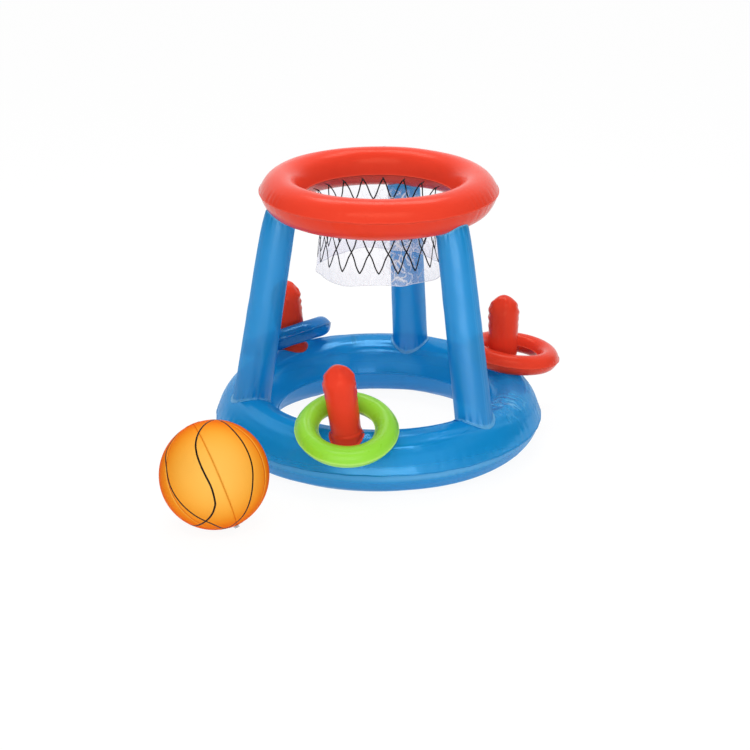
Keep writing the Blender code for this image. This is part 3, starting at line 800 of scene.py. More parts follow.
@dataclass
class Tube:
    """A welded tube that stands on one ring and may end under another, with a collar at each weld.

    The surface is a circle carried along a straight axis. Where the tube meets a ring, each of its
    lines is followed until it touches the ring's smooth section, found by halving.
    """

    HALVINGS = 30

    label: str
    slot: str
    look: Vinyl
    foot: np.ndarray
    axis: np.ndarray
    outward: np.ndarray
    lower: InflatedRing
    sides: int
    collar: float
    seed: int = 3

    @property
    def sideways(self) -> np.ndarray:
        """The direction across the axis and the outward direction."""
        return np.cross(self.axis, self.outward)

    def round_points(self, turn: np.ndarray, radius: np.ndarray, along: np.ndarray) -> np.ndarray:
        """Points at an angle round the axis, a radius from it and a distance along it."""
        turn, radius, along = np.broadcast_arrays(turn, radius, along)
        return (self.foot + along[..., None] * self.axis
                + (radius * np.cos(turn))[..., None] * self.outward
                + (radius * np.sin(turn))[..., None] * self.sideways)

    def meets(self, ring: InflatedRing, side: int, turn: np.ndarray, radius: np.ndarray,
              near: float, far: float) -> np.ndarray:
        """Where the tube's lines leave a ring's skin.

        Args:
            ring: the ring.
            side: 1 for its upper side, -1 for its lower side.
            turn: angles round the tube.
            radius: distance from the tube's axis at each angle.
            near: distance along the axis that lies inside the ring.
            far: distance along the axis that lies clear of it.

        Returns:
            The distance along the axis at each angle.
        """
        turn, radius = np.broadcast_arrays(turn, radius)
        inside, outside = np.full(turn.shape, near), np.full(turn.shape, far)
        for _ in range(self.HALVINGS):
            middle = (inside + outside) / 2
            points = self.round_points(turn, radius, middle) - np.array(ring.centre)
            out = np.hypot(points[..., 0], points[..., 1]) - ring.radius
            clear = side * points[..., 2] > ring.height_at(out, side) + SHEET_GAP + SHEET_WALL
            inside, outside = np.where(clear, inside, middle), np.where(clear, middle, outside)
        return outside


@dataclass
class Leg(Tube):
    """A leg between the base ring and the hoop ring, with one long lap weld on its outward side."""

    # Radius of the collar's rows beyond the tube, as shares of the collar's width
    FLARE = (1.0, 0.72, 0.45, 0.22, 0.08)
    # How far the collar rises towards the tube, and the distance from it to the tube's first row
    FLARE_RISE = 0.8 * MM
    FIRST_ROW = 1.2 * MM
    # Where the collars at foot and head take the tube's radius, and how far each ring is looked
    # for, as shares of the length
    FOOT_AT, HEAD_AT = 0.14, 0.93
    FOOT_REACH, HEAD_REACH = 0.45, 0.55
    # How the rows crowd towards both ends
    CROWDING = 0.4
    # Depth and fade of the puckers at the foot and at the head, and height of the slack between
    FOOT_PUCKERS, HEAD_PUCKERS = (1.0 * MM, 11 * MM), (0.8 * MM, 12 * MM)
    SLACK = 0.14 * MM
    # How the slack winds round the leg from end to end, and how the drawn-in side fades round it
    SLACK_TWIST, DIP_POWER = 9, 1.5
    # Width and height of the lap, and how soft its edges are round the tube
    LAP_WIDTH, LAP_HEIGHT, LAP_SOFTNESS = 5 * MM, 0.45 * MM, 0.012
    # Weld value on the collars, in a line beside them and along the lap's edges
    COLLAR_PALE, LINE_PALE, LAP_PALE = 0.7, 0.5, 0.5
    # Width of that line, and of the lap's lines as an angle
    LINE, LAP_LINE = 1.5 * MM, 0.02

    foot_radius: float = 35 * MM
    head_radius: float = 30.5 * MM
    upper: InflatedRing | None = None
    length: float = 0.0
    head_collar: float = 0.6 * MM
    head_dip: float = 6 * MM
    dip_fade: float = 22 * MM
    rows: int = 110

    def taper(self, along: np.ndarray | float) -> np.ndarray | float:
        """The leg's radius at a distance along its axis: it narrows evenly from the foot."""
        return self.foot_radius + (self.head_radius - self.foot_radius) * along / self.length

    def surface(self) -> Surface:
        """The tube with a collar at both ends.

        Along each line the radius is the leg's, plus a little slack, puckers that fade from each
        weld, a raised lap where the sheet overlaps itself, and a flare into the collar. Under the
        hoop the outward side is drawn in.

        Returns:
            The surface, with its weld value.
        """
        turn = np.linspace(0, TAU, self.sides, endpoint=False)[None, :]
        flare = np.array(self.FLARE)[:, None]
        dip = self.head_dip * np.clip(np.cos(turn), 0, 1) ** self.DIP_POWER
        foot_radius = self.taper(self.FOOT_AT * self.length) + flare * self.collar
        head_radius = self.taper(self.HEAD_AT * self.length) + flare[::-1] * self.head_collar - dip
        foot_along = self.meets(self.lower, 1, turn, foot_radius, 0.0,
                                self.FOOT_REACH * self.length)
        head_along = self.meets(self.upper, -1, turn, head_radius, self.length,
                                self.HEAD_REACH * self.length)
        foot_along = foot_along + self.FLARE_RISE * (1 - flare) ** 2
        head_along = head_along - self.FLARE_RISE * (1 - flare[::-1]) ** 2

        share = np.linspace(0, 1, self.rows)[:, None]
        share = share - self.CROWDING * np.sin(TAU * share) / TAU
        start, end = foot_along[-1:] + self.FIRST_ROW, head_along[:1] - self.FIRST_ROW
        along = start + share * (end - start)
        from_foot, from_head = along - start, end - along
        away = np.abs(np.mod(turn + math.pi, TAU) - math.pi)
        slack = self.SLACK * ripples(turn + self.SLACK_TWIST * share, self.seed + 2, 2, 6)
        middle = self.taper(along) + self.puckers(turn, from_foot, from_head) \
            + slack * np.sin(math.pi * share) + self.lap(away) \
            - dip * np.exp(-from_head / self.dip_fade)
        rows = len(flare)
        radius = np.vstack([np.broadcast_to(foot_radius, (rows, self.sides)), middle,
                            np.broadcast_to(head_radius, (rows, self.sides))])
        points = self.round_points(turn, radius, np.vstack([foot_along, along, head_along]))

        collar = np.vstack([np.ones((rows, 1)), np.zeros((self.rows, 1)), np.ones((rows, 1))])
        none = np.zeros((rows, self.sides))
        line = np.vstack([none, bell(from_foot, self.LINE) + bell(from_head, self.LINE), none])
        edge = self.LAP_PALE * bell(away - self.lap_angle() / 2, self.LAP_LINE)
        weld = np.clip(self.COLLAR_PALE * collar + self.LINE_PALE * line + edge, 0, 1)
        return Surface(points, wrap_columns=True, flip=False, values={"weld": weld})

    def puckers(self, turn: np.ndarray, from_foot: np.ndarray,
                from_head: np.ndarray) -> np.ndarray:
        """Depth of the lengthwise puckers that fade away from the weld at each end."""
        (foot, foot_fade), (head, head_fade) = self.FOOT_PUCKERS, self.HEAD_PUCKERS
        return foot * ripples(turn, self.seed, 12, 26) * np.exp(-from_foot / foot_fade) \
            + head * ripples(turn, self.seed + 1, 10, 24) * np.exp(-from_head / head_fade)

    def lap_angle(self) -> float:
        """Angle round the tube that the lap takes up at the foot."""
        return self.LAP_WIDTH / self.foot_radius

    def lap(self, away: np.ndarray) -> np.ndarray:
        """Height of the lap at an angle away from its middle: a step with soft edges."""
        return self.LAP_HEIGHT / (1 + np.exp((away - self.lap_angle() / 2) / self.LAP_SOFTNESS))

    def build(self, dresser: Dresser) -> None:
        """Make the leg in place of its CAD node."""
        name = f"{self.label}_tube"
        dresser.piece(name, self.surface().mesh(name), self.look, "frame", (self.label,))


@dataclass
class Peg(Tube):
    """A domed peg: two sheets welded along its silhouette, puckered there, with a flared foot."""

    # Radius of the collar's rows beyond the foot, as shares of the collar's width
    FLARE = (1.0, 0.66, 0.33, 0.1)
    # How far the collar rises towards the foot, and the distance from it to the first row
    FLARE_RISE = 0.5 * MM
    FIRST_ROW = 0.8 * MM
    # The ring's skin is looked for from this height to this one, over its crown
    SKIN_LOW, SKIN_HIGH = -0.05, 0.03
    # Numbers of rows in the skirt, lip, body and dome, and lowest and highest row of the lip
    ROWS = (5, 16, 44, 26)
    LIP_ROWS = (0.3, 2.2)
    # How far round its quarter the dome's last row lies
    DOME_END = 0.992
    # Height and width of the ridge along a side weld
    RIDGE = (0.8 * MM, 2.5 * MM)
    # Height and width of the bumps on the ridge, and of those beside it with their distance
    BUMPS = (1.1 * MM, 7 * MM)
    SIDE_BUMPS = (0.7 * MM, 6 * MM, 6 * MM)
    # Least strength of the bumps, low on the peg, and the shares of its height where they grow
    BUMPS_LOW, BUMPS_FROM, BUMPS_OVER = 0.12, 0.45, 0.4
    # The ridge rises over the lowest share, fades over the highest and never falls below a share
    RISE_OVER, FADE_OVER, FADE_LEAST = 0.12, 0.09, 0.25
    # The ridge also fades where the dome is narrower than this share of the head
    NARROW = 0.4
    # Depth of the uneven dents in the dome
    DENT = 5 * MM
    # Weld value on the collar and along the side welds, and widths of the two lines
    COLLAR_PALE, SIDE_PALE = 0.7, 0.8
    COLLAR_LINE, SIDE_LINE = 1.5 * MM, 1.2 * MM

    head: float = 29 * MM
    waist: float = 26.5 * MM
    foot_radius: float = 29 * MM
    height: float = 136 * MM
    shoulder: float = 0.74
    roundness: float = 0.56
    lip: float = 10 * MM
    weld_turn: float = 0.0

    def profile(self, rise: np.ndarray) -> np.ndarray:
        """Radius at a height above the ring's crown: lip, waist, slow widening and a round dome."""
        shoulder = self.height * self.shoulder
        swell = np.interp(rise, [-0.02, 0.35 * self.lip, 0.8 * self.lip, 1.6 * self.lip, shoulder],
                          [self.foot_radius, self.foot_radius, self.waist + 0.4 * MM, self.waist,
                           self.head])
        dome = np.clip((rise - shoulder) / (self.height - shoulder), 0, 1)
        return swell * np.clip(1 - dome ** 2, 0, 1) ** self.roundness

    def heights(self, start: np.ndarray) -> np.ndarray:
        """Heights of the rows over the collar, closest together at the lip and in the dome.

        Args:
            start: height of the first row on each side line.

        Returns:
            The heights, row by row.
        """
        skirt_rows, lip_rows, body_rows, dome_rows = self.ROWS
        lowest, highest = (share * self.lip for share in self.LIP_ROWS)
        low = np.linspace(lowest, highest, lip_rows)
        body = np.linspace(highest, self.height * self.shoulder, body_rows)
        top = self.height * (self.shoulder + (1 - self.shoulder)
                             * np.sin(np.linspace(0, self.DOME_END * math.pi / 2, dome_rows)))
        level = np.concatenate([low[:-1], body[:-1], top])[:, None]
        skirt = start + np.linspace(0, 1, skirt_rows)[:-1, None] * (level[:1] - start)
        return np.vstack([skirt, np.broadcast_to(level, (len(level), self.sides))])

    def ridge(self, turn: np.ndarray, along: np.ndarray, arc: np.ndarray) -> np.ndarray:
        """How far the sheet stands out along the side welds.

        A low ridge follows each weld. Bumps that differ from weld to weld sit on it, and bumps
        that differ from sheet to sheet sit beside it. They grow towards the tip.

        Args:
            turn: angle round the peg.
            along: height.
            arc: distance round the peg from the nearer weld.

        Returns:
            The height of ridge and bumps over the profile.
        """
        line = along / self.height * TAU
        bumps = np.where(np.cos(turn - self.weld_turn) > 0, ripples(line, self.seed, 4, 10),
                         ripples(line, self.seed + 1, 4, 10))
        face = np.where(np.sin(turn - self.weld_turn) > 0, ripples(line, self.seed + 2, 4, 8),
                        ripples(line, self.seed + 3, 4, 8))
        grown = np.clip((along / self.height - self.BUMPS_FROM) / self.BUMPS_OVER, 0, 1)
        near_tip = self.BUMPS_LOW + (1 - self.BUMPS_LOW) * grown
        ridge, width = self.RIDGE
        (high, reach), (side_high, side_reach, side_away) = self.BUMPS, self.SIDE_BUMPS
        stand = ridge * np.exp(-arc / width) + near_tip * (
            high * bumps * bell(arc, reach) + side_high * face * bell(arc - side_away, side_reach))
        rise = np.clip(along / (self.RISE_OVER * self.height), 0, 1)
        fade = np.clip((self.height - along) / (self.FADE_OVER * self.height), self.FADE_LEAST, 1)
        return stand * rise * fade

    def surface(self) -> Surface:
        """The peg with its collar, side welds and puckers.

        The radius at each height is the profile's, drawn out to a low ridge at both side welds,
        with puckers across the weld that fade round the peg.

        Returns:
            The surface, closed at the tip.
        """
        turn = np.linspace(0, TAU, self.sides, endpoint=False)[None, :]
        flare = np.array(self.FLARE)[:, None]
        collar_radius = self.foot_radius + flare * self.collar
        collar_along = self.meets(self.lower, 1, turn, collar_radius, self.SKIN_LOW,
                                  self.SKIN_HIGH)
        collar_along = collar_along + self.FLARE_RISE * (1 - flare) ** 2

        start = collar_along[-1:] + self.FIRST_ROW
        along = self.heights(start)
        radius = self.profile(along)
        away = np.abs(np.mod(turn - self.weld_turn + math.pi / 2, math.pi) - math.pi / 2)
        arc = away * self.head
        narrow = np.minimum(1, radius / (self.NARROW * self.head))
        radius = radius + self.ridge(turn, along, arc) * narrow
        dome = np.clip((along / self.height - self.shoulder) / (1 - self.shoulder), 0, 1)
        dent = self.DENT * dome * (1 - dome) * ripples(turn, self.seed + 4, 2, 5)

        rows = len(flare)
        radius = np.vstack([np.broadcast_to(collar_radius, (rows, self.sides)), radius])
        points = self.round_points(turn, radius, np.vstack([collar_along, along + dent]))
        tip = points[-1].mean(axis=0) + 0.1 * MM * self.axis
        collar = np.vstack([np.ones((rows, self.sides)), bell(along - start, self.COLLAR_LINE)])
        side = np.vstack([np.zeros((rows, self.sides)),
                          np.broadcast_to(bell(arc, self.SIDE_LINE), along.shape)])
        weld = np.clip(self.COLLAR_PALE * collar + self.SIDE_PALE * side, 0, 1)
        return Surface(points, wrap_columns=True, flip=False, tip=tip[None, :],
                       values={"weld": weld})

    def build(self, dresser: Dresser) -> None:
        """Make the peg in place of its CAD node."""
        name = f"{self.label}_dome"
        dresser.piece(name, self.surface().mesh(name), self.look, "frame", (self.label,))


# ---------------------------------------------------------------- net


@dataclass
class NetSleeve:
    """Clear film held in the hoop's inner seam and drawn in below it, with a printed diamond net.

    It hangs in soft folds that grow downwards. It is crumpled most at one place round it, and
    its crumpled folds carry painted glints, strongest at two other places.
    """

    # How far its line is rounded, as a share of the length, and in how many steps
    ROUNDING, ROUNDING_STEPS = 0.03, 7
    # The folds begin at this share of the length
    FOLDS_FROM = 0.16
    # Height, and power with which it grows: of long folds, of creases and of the uneven hem
    FOLDS, CREASES, HEM = (2.2 * MM, 1.5), (0.9 * MM, 1.2), (2.5 * MM, 6)
    # How far the creases slant round the sleeve, in radians over its length
    CREASE_SLANT = 0.5
    # Crumpling: distance between its valleys, height in mm all round and more at one place, and
    # how fast it comes up below the beginning of the folds
    CRUMPLE_LENGTH = 16 * MM
    CRUMPLE_HEIGHT = (0.25, 0.9)
    CRUMPLE_RISE = 5
    # Places as azimuth in degrees and width in radians: crumpled most, and with the most painted
    # glints
    CRUMPLED_AT = (95, 0.5)
    GLINTS_AT = ((82, 0.35), (308, 0.24))
    # Painted glints: distance between fold lines, strength on them all round and more at the glint
    # places, and an even glint over those places
    LINE_LENGTH = 26 * MM
    LINE_GLINTS = (0.1, 1.1)
    PLACE_GLINTS = 0.1
    # Share of the length where lines and places begin, and over which they come up
    WHITE_FROM, WHITE_OVER = 0.22, 0.1
    # Paleness towards the hem and in the hem's edge, each with its reach as a share of the length
    HEM_WHITE, EDGE_WHITE = (0.16, 0.2), (0.6, 0.006)
    # Thickness of the two sets of strands, of which the second lies over the first
    STRAND_WALLS = (0.46 * MM, 0.52 * MM)
    # How far a strand bends towards its crossings, as a share of a row, and its steps a row
    STRAND_BEND, STRAND_STEPS = 0.045, 24

    centre: tuple[float, float, float]
    seam_radius: float
    levels: tuple[tuple[float, float], ...]
    strands: int = 20
    phase: float = math.radians(285)
    drift: float = math.radians(2.6)
    print_top: float = 2 * MM
    print_row: float = 38 * MM
    print_rows: int = 3
    line_width: float = 2.5 * MM
    steps: int = 400
    rows: int = 90
    seed: int = 11

    def path(self, share: np.ndarray) -> tuple[np.ndarray, np.ndarray]:
        """Radius and drop of the film at a share of its length, along a rounded line of levels."""
        radii = np.array([level[0] for level in self.levels])
        drops = np.array([level[1] for level in self.levels])
        lengths = np.concatenate([[0], np.cumsum(np.hypot(np.diff(radii), np.diff(drops)))])
        lengths = lengths / lengths[-1]
        radius = drop = 0
        shifts = np.linspace(-self.ROUNDING, self.ROUNDING, self.ROUNDING_STEPS)
        for shift in shifts:
            at = np.clip(share + shift * np.sin(math.pi * np.clip(share, 0, 1)), 0, 1)
            radius = radius + np.interp(at, lengths, radii) / len(shifts)
            drop = drop + np.interp(at, lengths, drops) / len(shifts)
        return radius, drop

    def film_point(self, turn: np.ndarray, share: np.ndarray) -> np.ndarray:
        """Points of the film.

        The radius is the path's, plus a few long folds and shorter creases, both growing with a
        power of the share of the length, plus the crumpling. The hem is a little uneven.

        Args:
            turn: angle round the sleeve.
            share: share of the film's length from the seam down.

        Returns:
            The points in the frame.
        """
        radius, drop = self.path(share)
        hang = np.clip((share - self.FOLDS_FROM) / (1 - self.FOLDS_FROM), 0, 1)
        (fold, fold_power), (crease, crease_power) = self.FOLDS, self.CREASES
        hem, hem_power = self.HEM
        around, more = self.CRUMPLE_HEIGHT
        folds = fold * ripples(turn, self.seed, 3, 8) * hang ** fold_power
        slant = turn + self.CREASE_SLANT * hang
        creases = crease * ripples(slant, self.seed + 1, 11, 27) * hang ** crease_power
        fine = (around + more * self.near(turn, *self.CRUMPLED_AT)) * MM \
            * self.crumpled(turn, drop) * np.clip(hang * self.CRUMPLE_RISE, 0, 1)
        uneven = hem * ripples(turn, self.seed + 3, 2, 9) * hang ** hem_power
        radius = radius + folds + creases + fine
        return np.stack([radius * np.cos(turn), radius * np.sin(turn), uneven - drop], axis=-1) \
            + np.array(self.centre)

    def film(self) -> Surface:
        """The whole film on a grid, with its paler hem and painted glints as the weld value."""
        turn = np.linspace(0, TAU, self.steps, endpoint=False)[:, None]
        share = np.linspace(0, 1, self.rows)[None, :]
        points = self.film_point(*np.broadcast_arrays(turn, share))
        return Surface(points, wrap_rows=True, flip=True, values={"weld": self.haze_and_glints(turn, share)})

    def haze_and_glints(self, turn: np.ndarray, share: np.ndarray) -> np.ndarray:
        """How white the film is: paler hem, and painted glints on fold lines and at glint places.

        Args:
            turn: angle round the sleeve.
            share: share of the film's length.

        Returns:
            The paleness and painted glints, from 0 to 1.
        """
        (hem, hem_reach), (edge, edge_reach) = self.HEM_WHITE, self.EDGE_WHITE
        around, more = self.LINE_GLINTS
        lines = fold_lines(turn * self.seam_radius, self.path(share)[1], self.seed + 7,
                           self.LINE_LENGTH)
        low = hem * bell(share - 1, hem_reach) + edge * bell(share - 1, edge_reach)
        lower = np.clip((share - self.WHITE_FROM) / self.WHITE_OVER, 0, 1)
        near = np.maximum(*(self.near(turn, *place) for place in self.GLINTS_AT))
        # Painted glints of the crumpled film, on fold lines and over the glint places
        white = (around + more * near) * lines + self.PLACE_GLINTS * near
        return np.clip(low + white * lower, 0, 1)

    @staticmethod
    def near(turn: np.ndarray, azimuth: float, width: float) -> np.ndarray:
        """Nearness to an azimuth in degrees, 1 there and fading over a width in radians."""
        return bell(np.mod(turn - math.radians(azimuth) + math.pi, TAU) - math.pi, width)

    def crumpled(self, turn: np.ndarray, drop: np.ndarray) -> np.ndarray:
        """Relief left in the film by its folding."""
        return crumple(turn * self.seam_radius, drop, self.seed + 2, self.CRUMPLE_LENGTH)

    def share_at(self, drop: np.ndarray) -> np.ndarray:
        """Share of the film's length at a drop below the hoop's seam."""
        share = np.linspace(0, 1, 600)
        return np.interp(drop, self.path(share)[1], share)

    def strand_grid(self, start: int, way: int) -> Surface:
        """One printed strand, which runs slantwise down the film.

        Its middle line goes down row by row and round by half a diamond a row. It bends a little
        towards each crossing. The ribbon is its middle line moved to both sides by half its width.
        The diamonds drift round the film, as the print does, by up to twice the drift.

        Args:
            start: number of the diamond that it starts over.
            way: 1 or -1, the direction in which it turns.

        Returns:
            The ribbon.
        """
        along = np.linspace(0, self.print_rows, self.STRAND_STEPS * self.print_rows + 1)
        bend = self.STRAND_BEND * np.sin(TAU * along)
        diamond = TAU / self.strands
        turn = self.phase + (start + 0.5) * diamond + way * (along + bend) * diamond / 2
        drop = self.print_top + along * self.print_row
        radius = self.path(self.share_at(drop))[0]
        steep = np.array([radius * np.gradient(turn), np.gradient(drop)])
        steep = steep / np.linalg.norm(steep, axis=0)
        side = np.linspace(-0.5, 0.5, 3)[:, None] * self.line_width
        turn = turn + side * steep[1] / radius
        drop = drop - side * steep[0]
        turn = turn + self.drift * (1 - np.cos(turn - self.phase))
        return Surface(self.film_point(turn, self.share_at(drop)), flip=way > 0)

    def build(self, dresser: Dresser) -> None:
        """Make the film in place of its CAD node, and the printed strands on it."""
        film = dresser.piece("net_sleeve_film", self.film().mesh("net_sleeve_film"), FILM, "frame",
                             ("net_sleeve",), wall=SHEET_WALL)
        for level, way, wall in zip(("left", "right"), (-1, 1), self.STRAND_WALLS):
            name = f"net_print_{level}_strands"
            meshes = [self.strand_grid(start, way).mesh(f"{name}_{start}")
                      for start in range(self.strands)]
            dresser.piece(name, join_meshes(name, meshes), NET_INK, "frame",
                          wall=wall)


# ---------------------------------------------------------------- ball


# Latitude and longitude of points on the three closed printed lines, in the ball's own frame
BALL_LINES = (
    ((65, 17), (58, -52), (42, -69), (27, -73), (9, -73), (-10, -72), (-25, -75), (-32, -79),
     (-41, -92), (-46, -122), (-42, -150), (-33, -176), (-17, 162), (5, 145), (28, 125), (48, 100),
     (61, 62)),
    ((65, 17), (38, -13), (13, -18), (-7, -21), (-25, -26), (-45, -32), (-61, -41), (-75, -75),
     (-74, -150), (-60, 172), (-35, 160), (-5, 155), (25, 152), (50, 138), (68, 105), (75, 58)),
    ((65, -127), (47, -128), (27, -119), (4, -117), (-17, -113), (-39, -107), (-51, -103),
     (-63, -105), (-76, -125), (-77, 140), (-62, 95), (-35, 82), (-5, 80), (25, 80), (50, 82),
     (70, 105), (78, 170)))


@dataclass
class Ball:
    """Six welded gores with a round patch over each pole, and three printed lines."""

    # Each gore swells in its middle, and is drawn in at its welds over a width
    SWELL, DRAWN = 0.25 * MM, (0.22 * MM, 1.4 * MM)
    # Puckers along the welds: height and width, and least and greatest number from pole to pole
    PUCKERS, PUCKER_WAVES = (0.1 * MM, 5 * MM), (14, 30)
    # Weld value at the welds of gores and its width, and the width at a patch's edge
    WELD_PALE, WELD_WIDTH, PATCH_EDGE = 0.5, 0.8 * MM, 1.2 * MM
    # Patches: rows and steps round, and the opening left at the tip of the upper one
    PATCH_ROWS, PATCH_STEPS, PATCH_TIP = 14, 48, 0.004
    # Printed lines: steps between two points, rounding in steps, thickness and height over the gore
    PRINT_STEPS, PRINT_ROUNDING = 14, 3
    PRINT_WALL, PRINT_OVER = 0.12 * MM, 0.2 * MM

    centre: tuple[float, float, float]
    radius: float
    lean: float
    lean_axis: float
    spin: float
    gores: int = 6
    gore_steps: int = 30
    meridian_steps: int = 110
    tip_radius: float = 4 * MM
    patch_radius: float = 13 * MM
    print_width: float = 3.2 * MM

    def to_frame(self, points: np.ndarray) -> np.ndarray:
        """Points of the ball's own frame, turned as the ball lies and moved to its place."""
        axis = Vector((math.cos(self.lean_axis), math.sin(self.lean_axis), 0))
        turn = np.array(Matrix.Rotation(self.lean, 3, axis) @ Matrix.Rotation(self.spin, 3, "Z"))
        return above_floor(points @ turn.T + np.array(self.centre))

    def gore(self, number: int) -> Surface:
        """One gore: a slice of a sphere that swells a little between its two welds."""
        width = TAU / self.gores
        share = np.linspace(0, 1, self.gore_steps + 1)[:, None]
        turn = number * width + share * (width - SHEET_GAP / self.radius)
        tip = math.asin(self.tip_radius / self.radius)
        down = np.linspace(tip, math.pi - tip, self.meridian_steps + 1)[None, :]
        away = np.minimum(share, 1 - share) * width * self.radius * np.sin(down)
        reach = self.reach(share, number, down)
        points = np.stack([reach * np.sin(down) * np.cos(turn), reach * np.sin(down) * np.sin(turn),
                           reach * np.cos(down)], axis=-1)
        return Surface(self.to_frame(points), flip=False,
                       values={"weld": self.WELD_PALE * bell(away, self.WELD_WIDTH)})

    def reach(self, share: np.ndarray, number: np.ndarray | int, down: np.ndarray) -> np.ndarray:
        """Distance of a gore's sheet from the ball's middle.

        Args:
            share: share of the way across the gore.
            number: number of the gore.
            down: angle from the upper pole.

        Returns:
            The ball's radius, more in the middle of the gore, less at its welds, and a little
            uneven along them.
        """
        away = np.minimum(share, 1 - share) * TAU / self.gores * self.radius * np.sin(down)
        (drawn, weld_width), (pucker, pucker_width) = self.DRAWN, self.PUCKERS
        return self.radius + self.SWELL * np.sin(math.pi * share) - drawn * bell(away, weld_width) \
            + pucker * ripples(2 * down + 1.7 * number, 30, *self.PUCKER_WAVES) \
            * bell(away, pucker_width)

    def ribbon(self, points: tuple[tuple[float, float], ...]) -> Surface:
        """A line printed on the ball.

        A closed Catmull-Rom curve joins the points and is rounded by a moving mean. The ribbon
        follows the gores half its width to both sides of it.

        Args:
            points: latitudes and longitudes in degrees, in the ball's own frame.

        Returns:
            The ribbon.
        """
        middle = self.curve(points)
        along = np.roll(middle, -1, axis=0) - np.roll(middle, 1, axis=0)
        sideways = np.cross(middle, along)
        sideways = sideways / np.linalg.norm(sideways, axis=1)[:, None]
        offset = np.linspace(-0.5, 0.5, 5)[None, :, None] * self.print_width / self.radius
        place = middle[:, None] + offset * sideways[:, None]
        place = place / np.linalg.norm(place, axis=-1)[..., None]
        slice_share = np.mod(np.arctan2(place[..., 1], place[..., 0]), TAU) * self.gores / TAU
        number = np.floor(slice_share)
        reach = self.reach(slice_share - number, number, np.arccos(place[..., 2]))
        return Surface(self.to_frame(place * (reach + self.PRINT_OVER)[..., None]),
                       wrap_rows=True)

    def curve(self, points: tuple[tuple[float, float], ...]) -> np.ndarray:
        """A closed curve on the unit sphere through points given by latitude and longitude."""
        up, round_ = np.radians(np.array(points, dtype=float)).T
        knots = np.stack([np.cos(up) * np.cos(round_), np.cos(up) * np.sin(round_), np.sin(up)],
                         axis=-1)
        share = np.linspace(0, 1, self.PRINT_STEPS, endpoint=False)[None, :, None]
        before, here, after, beyond = (np.roll(knots, shift, axis=0)[:, None]
                                       for shift in (1, 0, -1, -2))
        middle = here + 0.5 * share * (after - before + share * (
            2 * before - 5 * here + 4 * after - beyond + share * (
                3 * (here - after) + beyond - before)))
        middle = middle.reshape(-1, 3)
        middle = sum(np.roll(middle, shift, axis=0)
                     for shift in range(-self.PRINT_ROUNDING, self.PRINT_ROUNDING + 1))
        return middle / np.linalg.norm(middle, axis=1)[:, None]

    def patch(self, up: int) -> Surface:
        """The round patch over a pole, a cap of a slightly larger sphere.

        Args:
            up: 1 for the upper pole, or -1 for the lower one, where the valve's hole stays open.

        Returns:
            The patch.
        """
        over = self.radius + SHEET_WALL + SHEET_GAP
        first = self.tip_radius / self.radius if up < 0 else self.PATCH_TIP
        down = np.linspace(math.asin(self.patch_radius / self.radius), first, self.PATCH_ROWS)
        profile = np.stack([over * np.sin(down), over * np.cos(down)], axis=-1)
        points = np.swapaxes(revolved(profile, self.PATCH_STEPS), 0, 1) * np.array([1, up, up])
        tip = None if up < 0 else self.to_frame(np.array([[0, 0, over]]))
        edge = bell(np.linspace(0, self.patch_radius, self.PATCH_ROWS), self.PATCH_EDGE)[:, None]
        return Surface(self.to_frame(points), wrap_columns=True, tip=tip, values={"weld": edge})

    def build(self, dresser: Dresser) -> None:
        """Make the gores and patches, each in place of its CAD node, and the printed lines."""
        for number in range(self.gores):
            name = f"ball_gore_sheet_{number + 1}"
            dresser.piece(name, self.gore(number).mesh(name), ORANGE, "ball",
                          (f"ball_gore_{number + 1}",))
        for level, up in (("top", 1), ("bottom", -1)):
            name = f"ball_{level}_patch"
            dresser.piece(name, self.patch(up).mesh(name), ORANGE, "ball",
                          (f"ball_{level}_disc",))
        for number, points in enumerate(BALL_LINES, 1):
            name = f"ball_print_line_{number}"
            dresser.piece(name, self.ribbon(points).mesh(name), BALL_INK, "ball",
                          wall=self.PRINT_WALL)


# ---------------------------------------------------------------- valves


@dataclass(frozen=True)
class ValveSize:
    """Sizes of one moulded valve and its plug."""

    flange_radius: float
    flange: float
    rim_radius: float
    rim_height: float
    neck_radius: float
    neck_depth: float
    bore_radius: float
    cap: float
    stem_radius: float
    stem_length: float
    tab_length: float
    tab_width: float


LARGE_VALVE = ValveSize(
    flange_radius=9 * MM, flange=0.9 * MM, rim_radius=6.2 * MM, rim_height=2.6 * MM,
    neck_radius=5.2 * MM, neck_depth=11 * MM, bore_radius=3.6 * MM, cap=1.4 * MM,
    stem_radius=3.2 * MM, stem_length=6 * MM, tab_length=5 * MM, tab_width=4 * MM)
SMALL_VALVE = ValveSize(
    flange_radius=6 * MM, flange=0.8 * MM, rim_radius=4.4 * MM, rim_height=2.2 * MM,
    neck_radius=3.6 * MM, neck_depth=8 * MM, bore_radius=2.4 * MM, cap=1.2 * MM,
    stem_radius=2 * MM, stem_length=5 * MM, tab_length=4 * MM, tab_width=3 * MM)


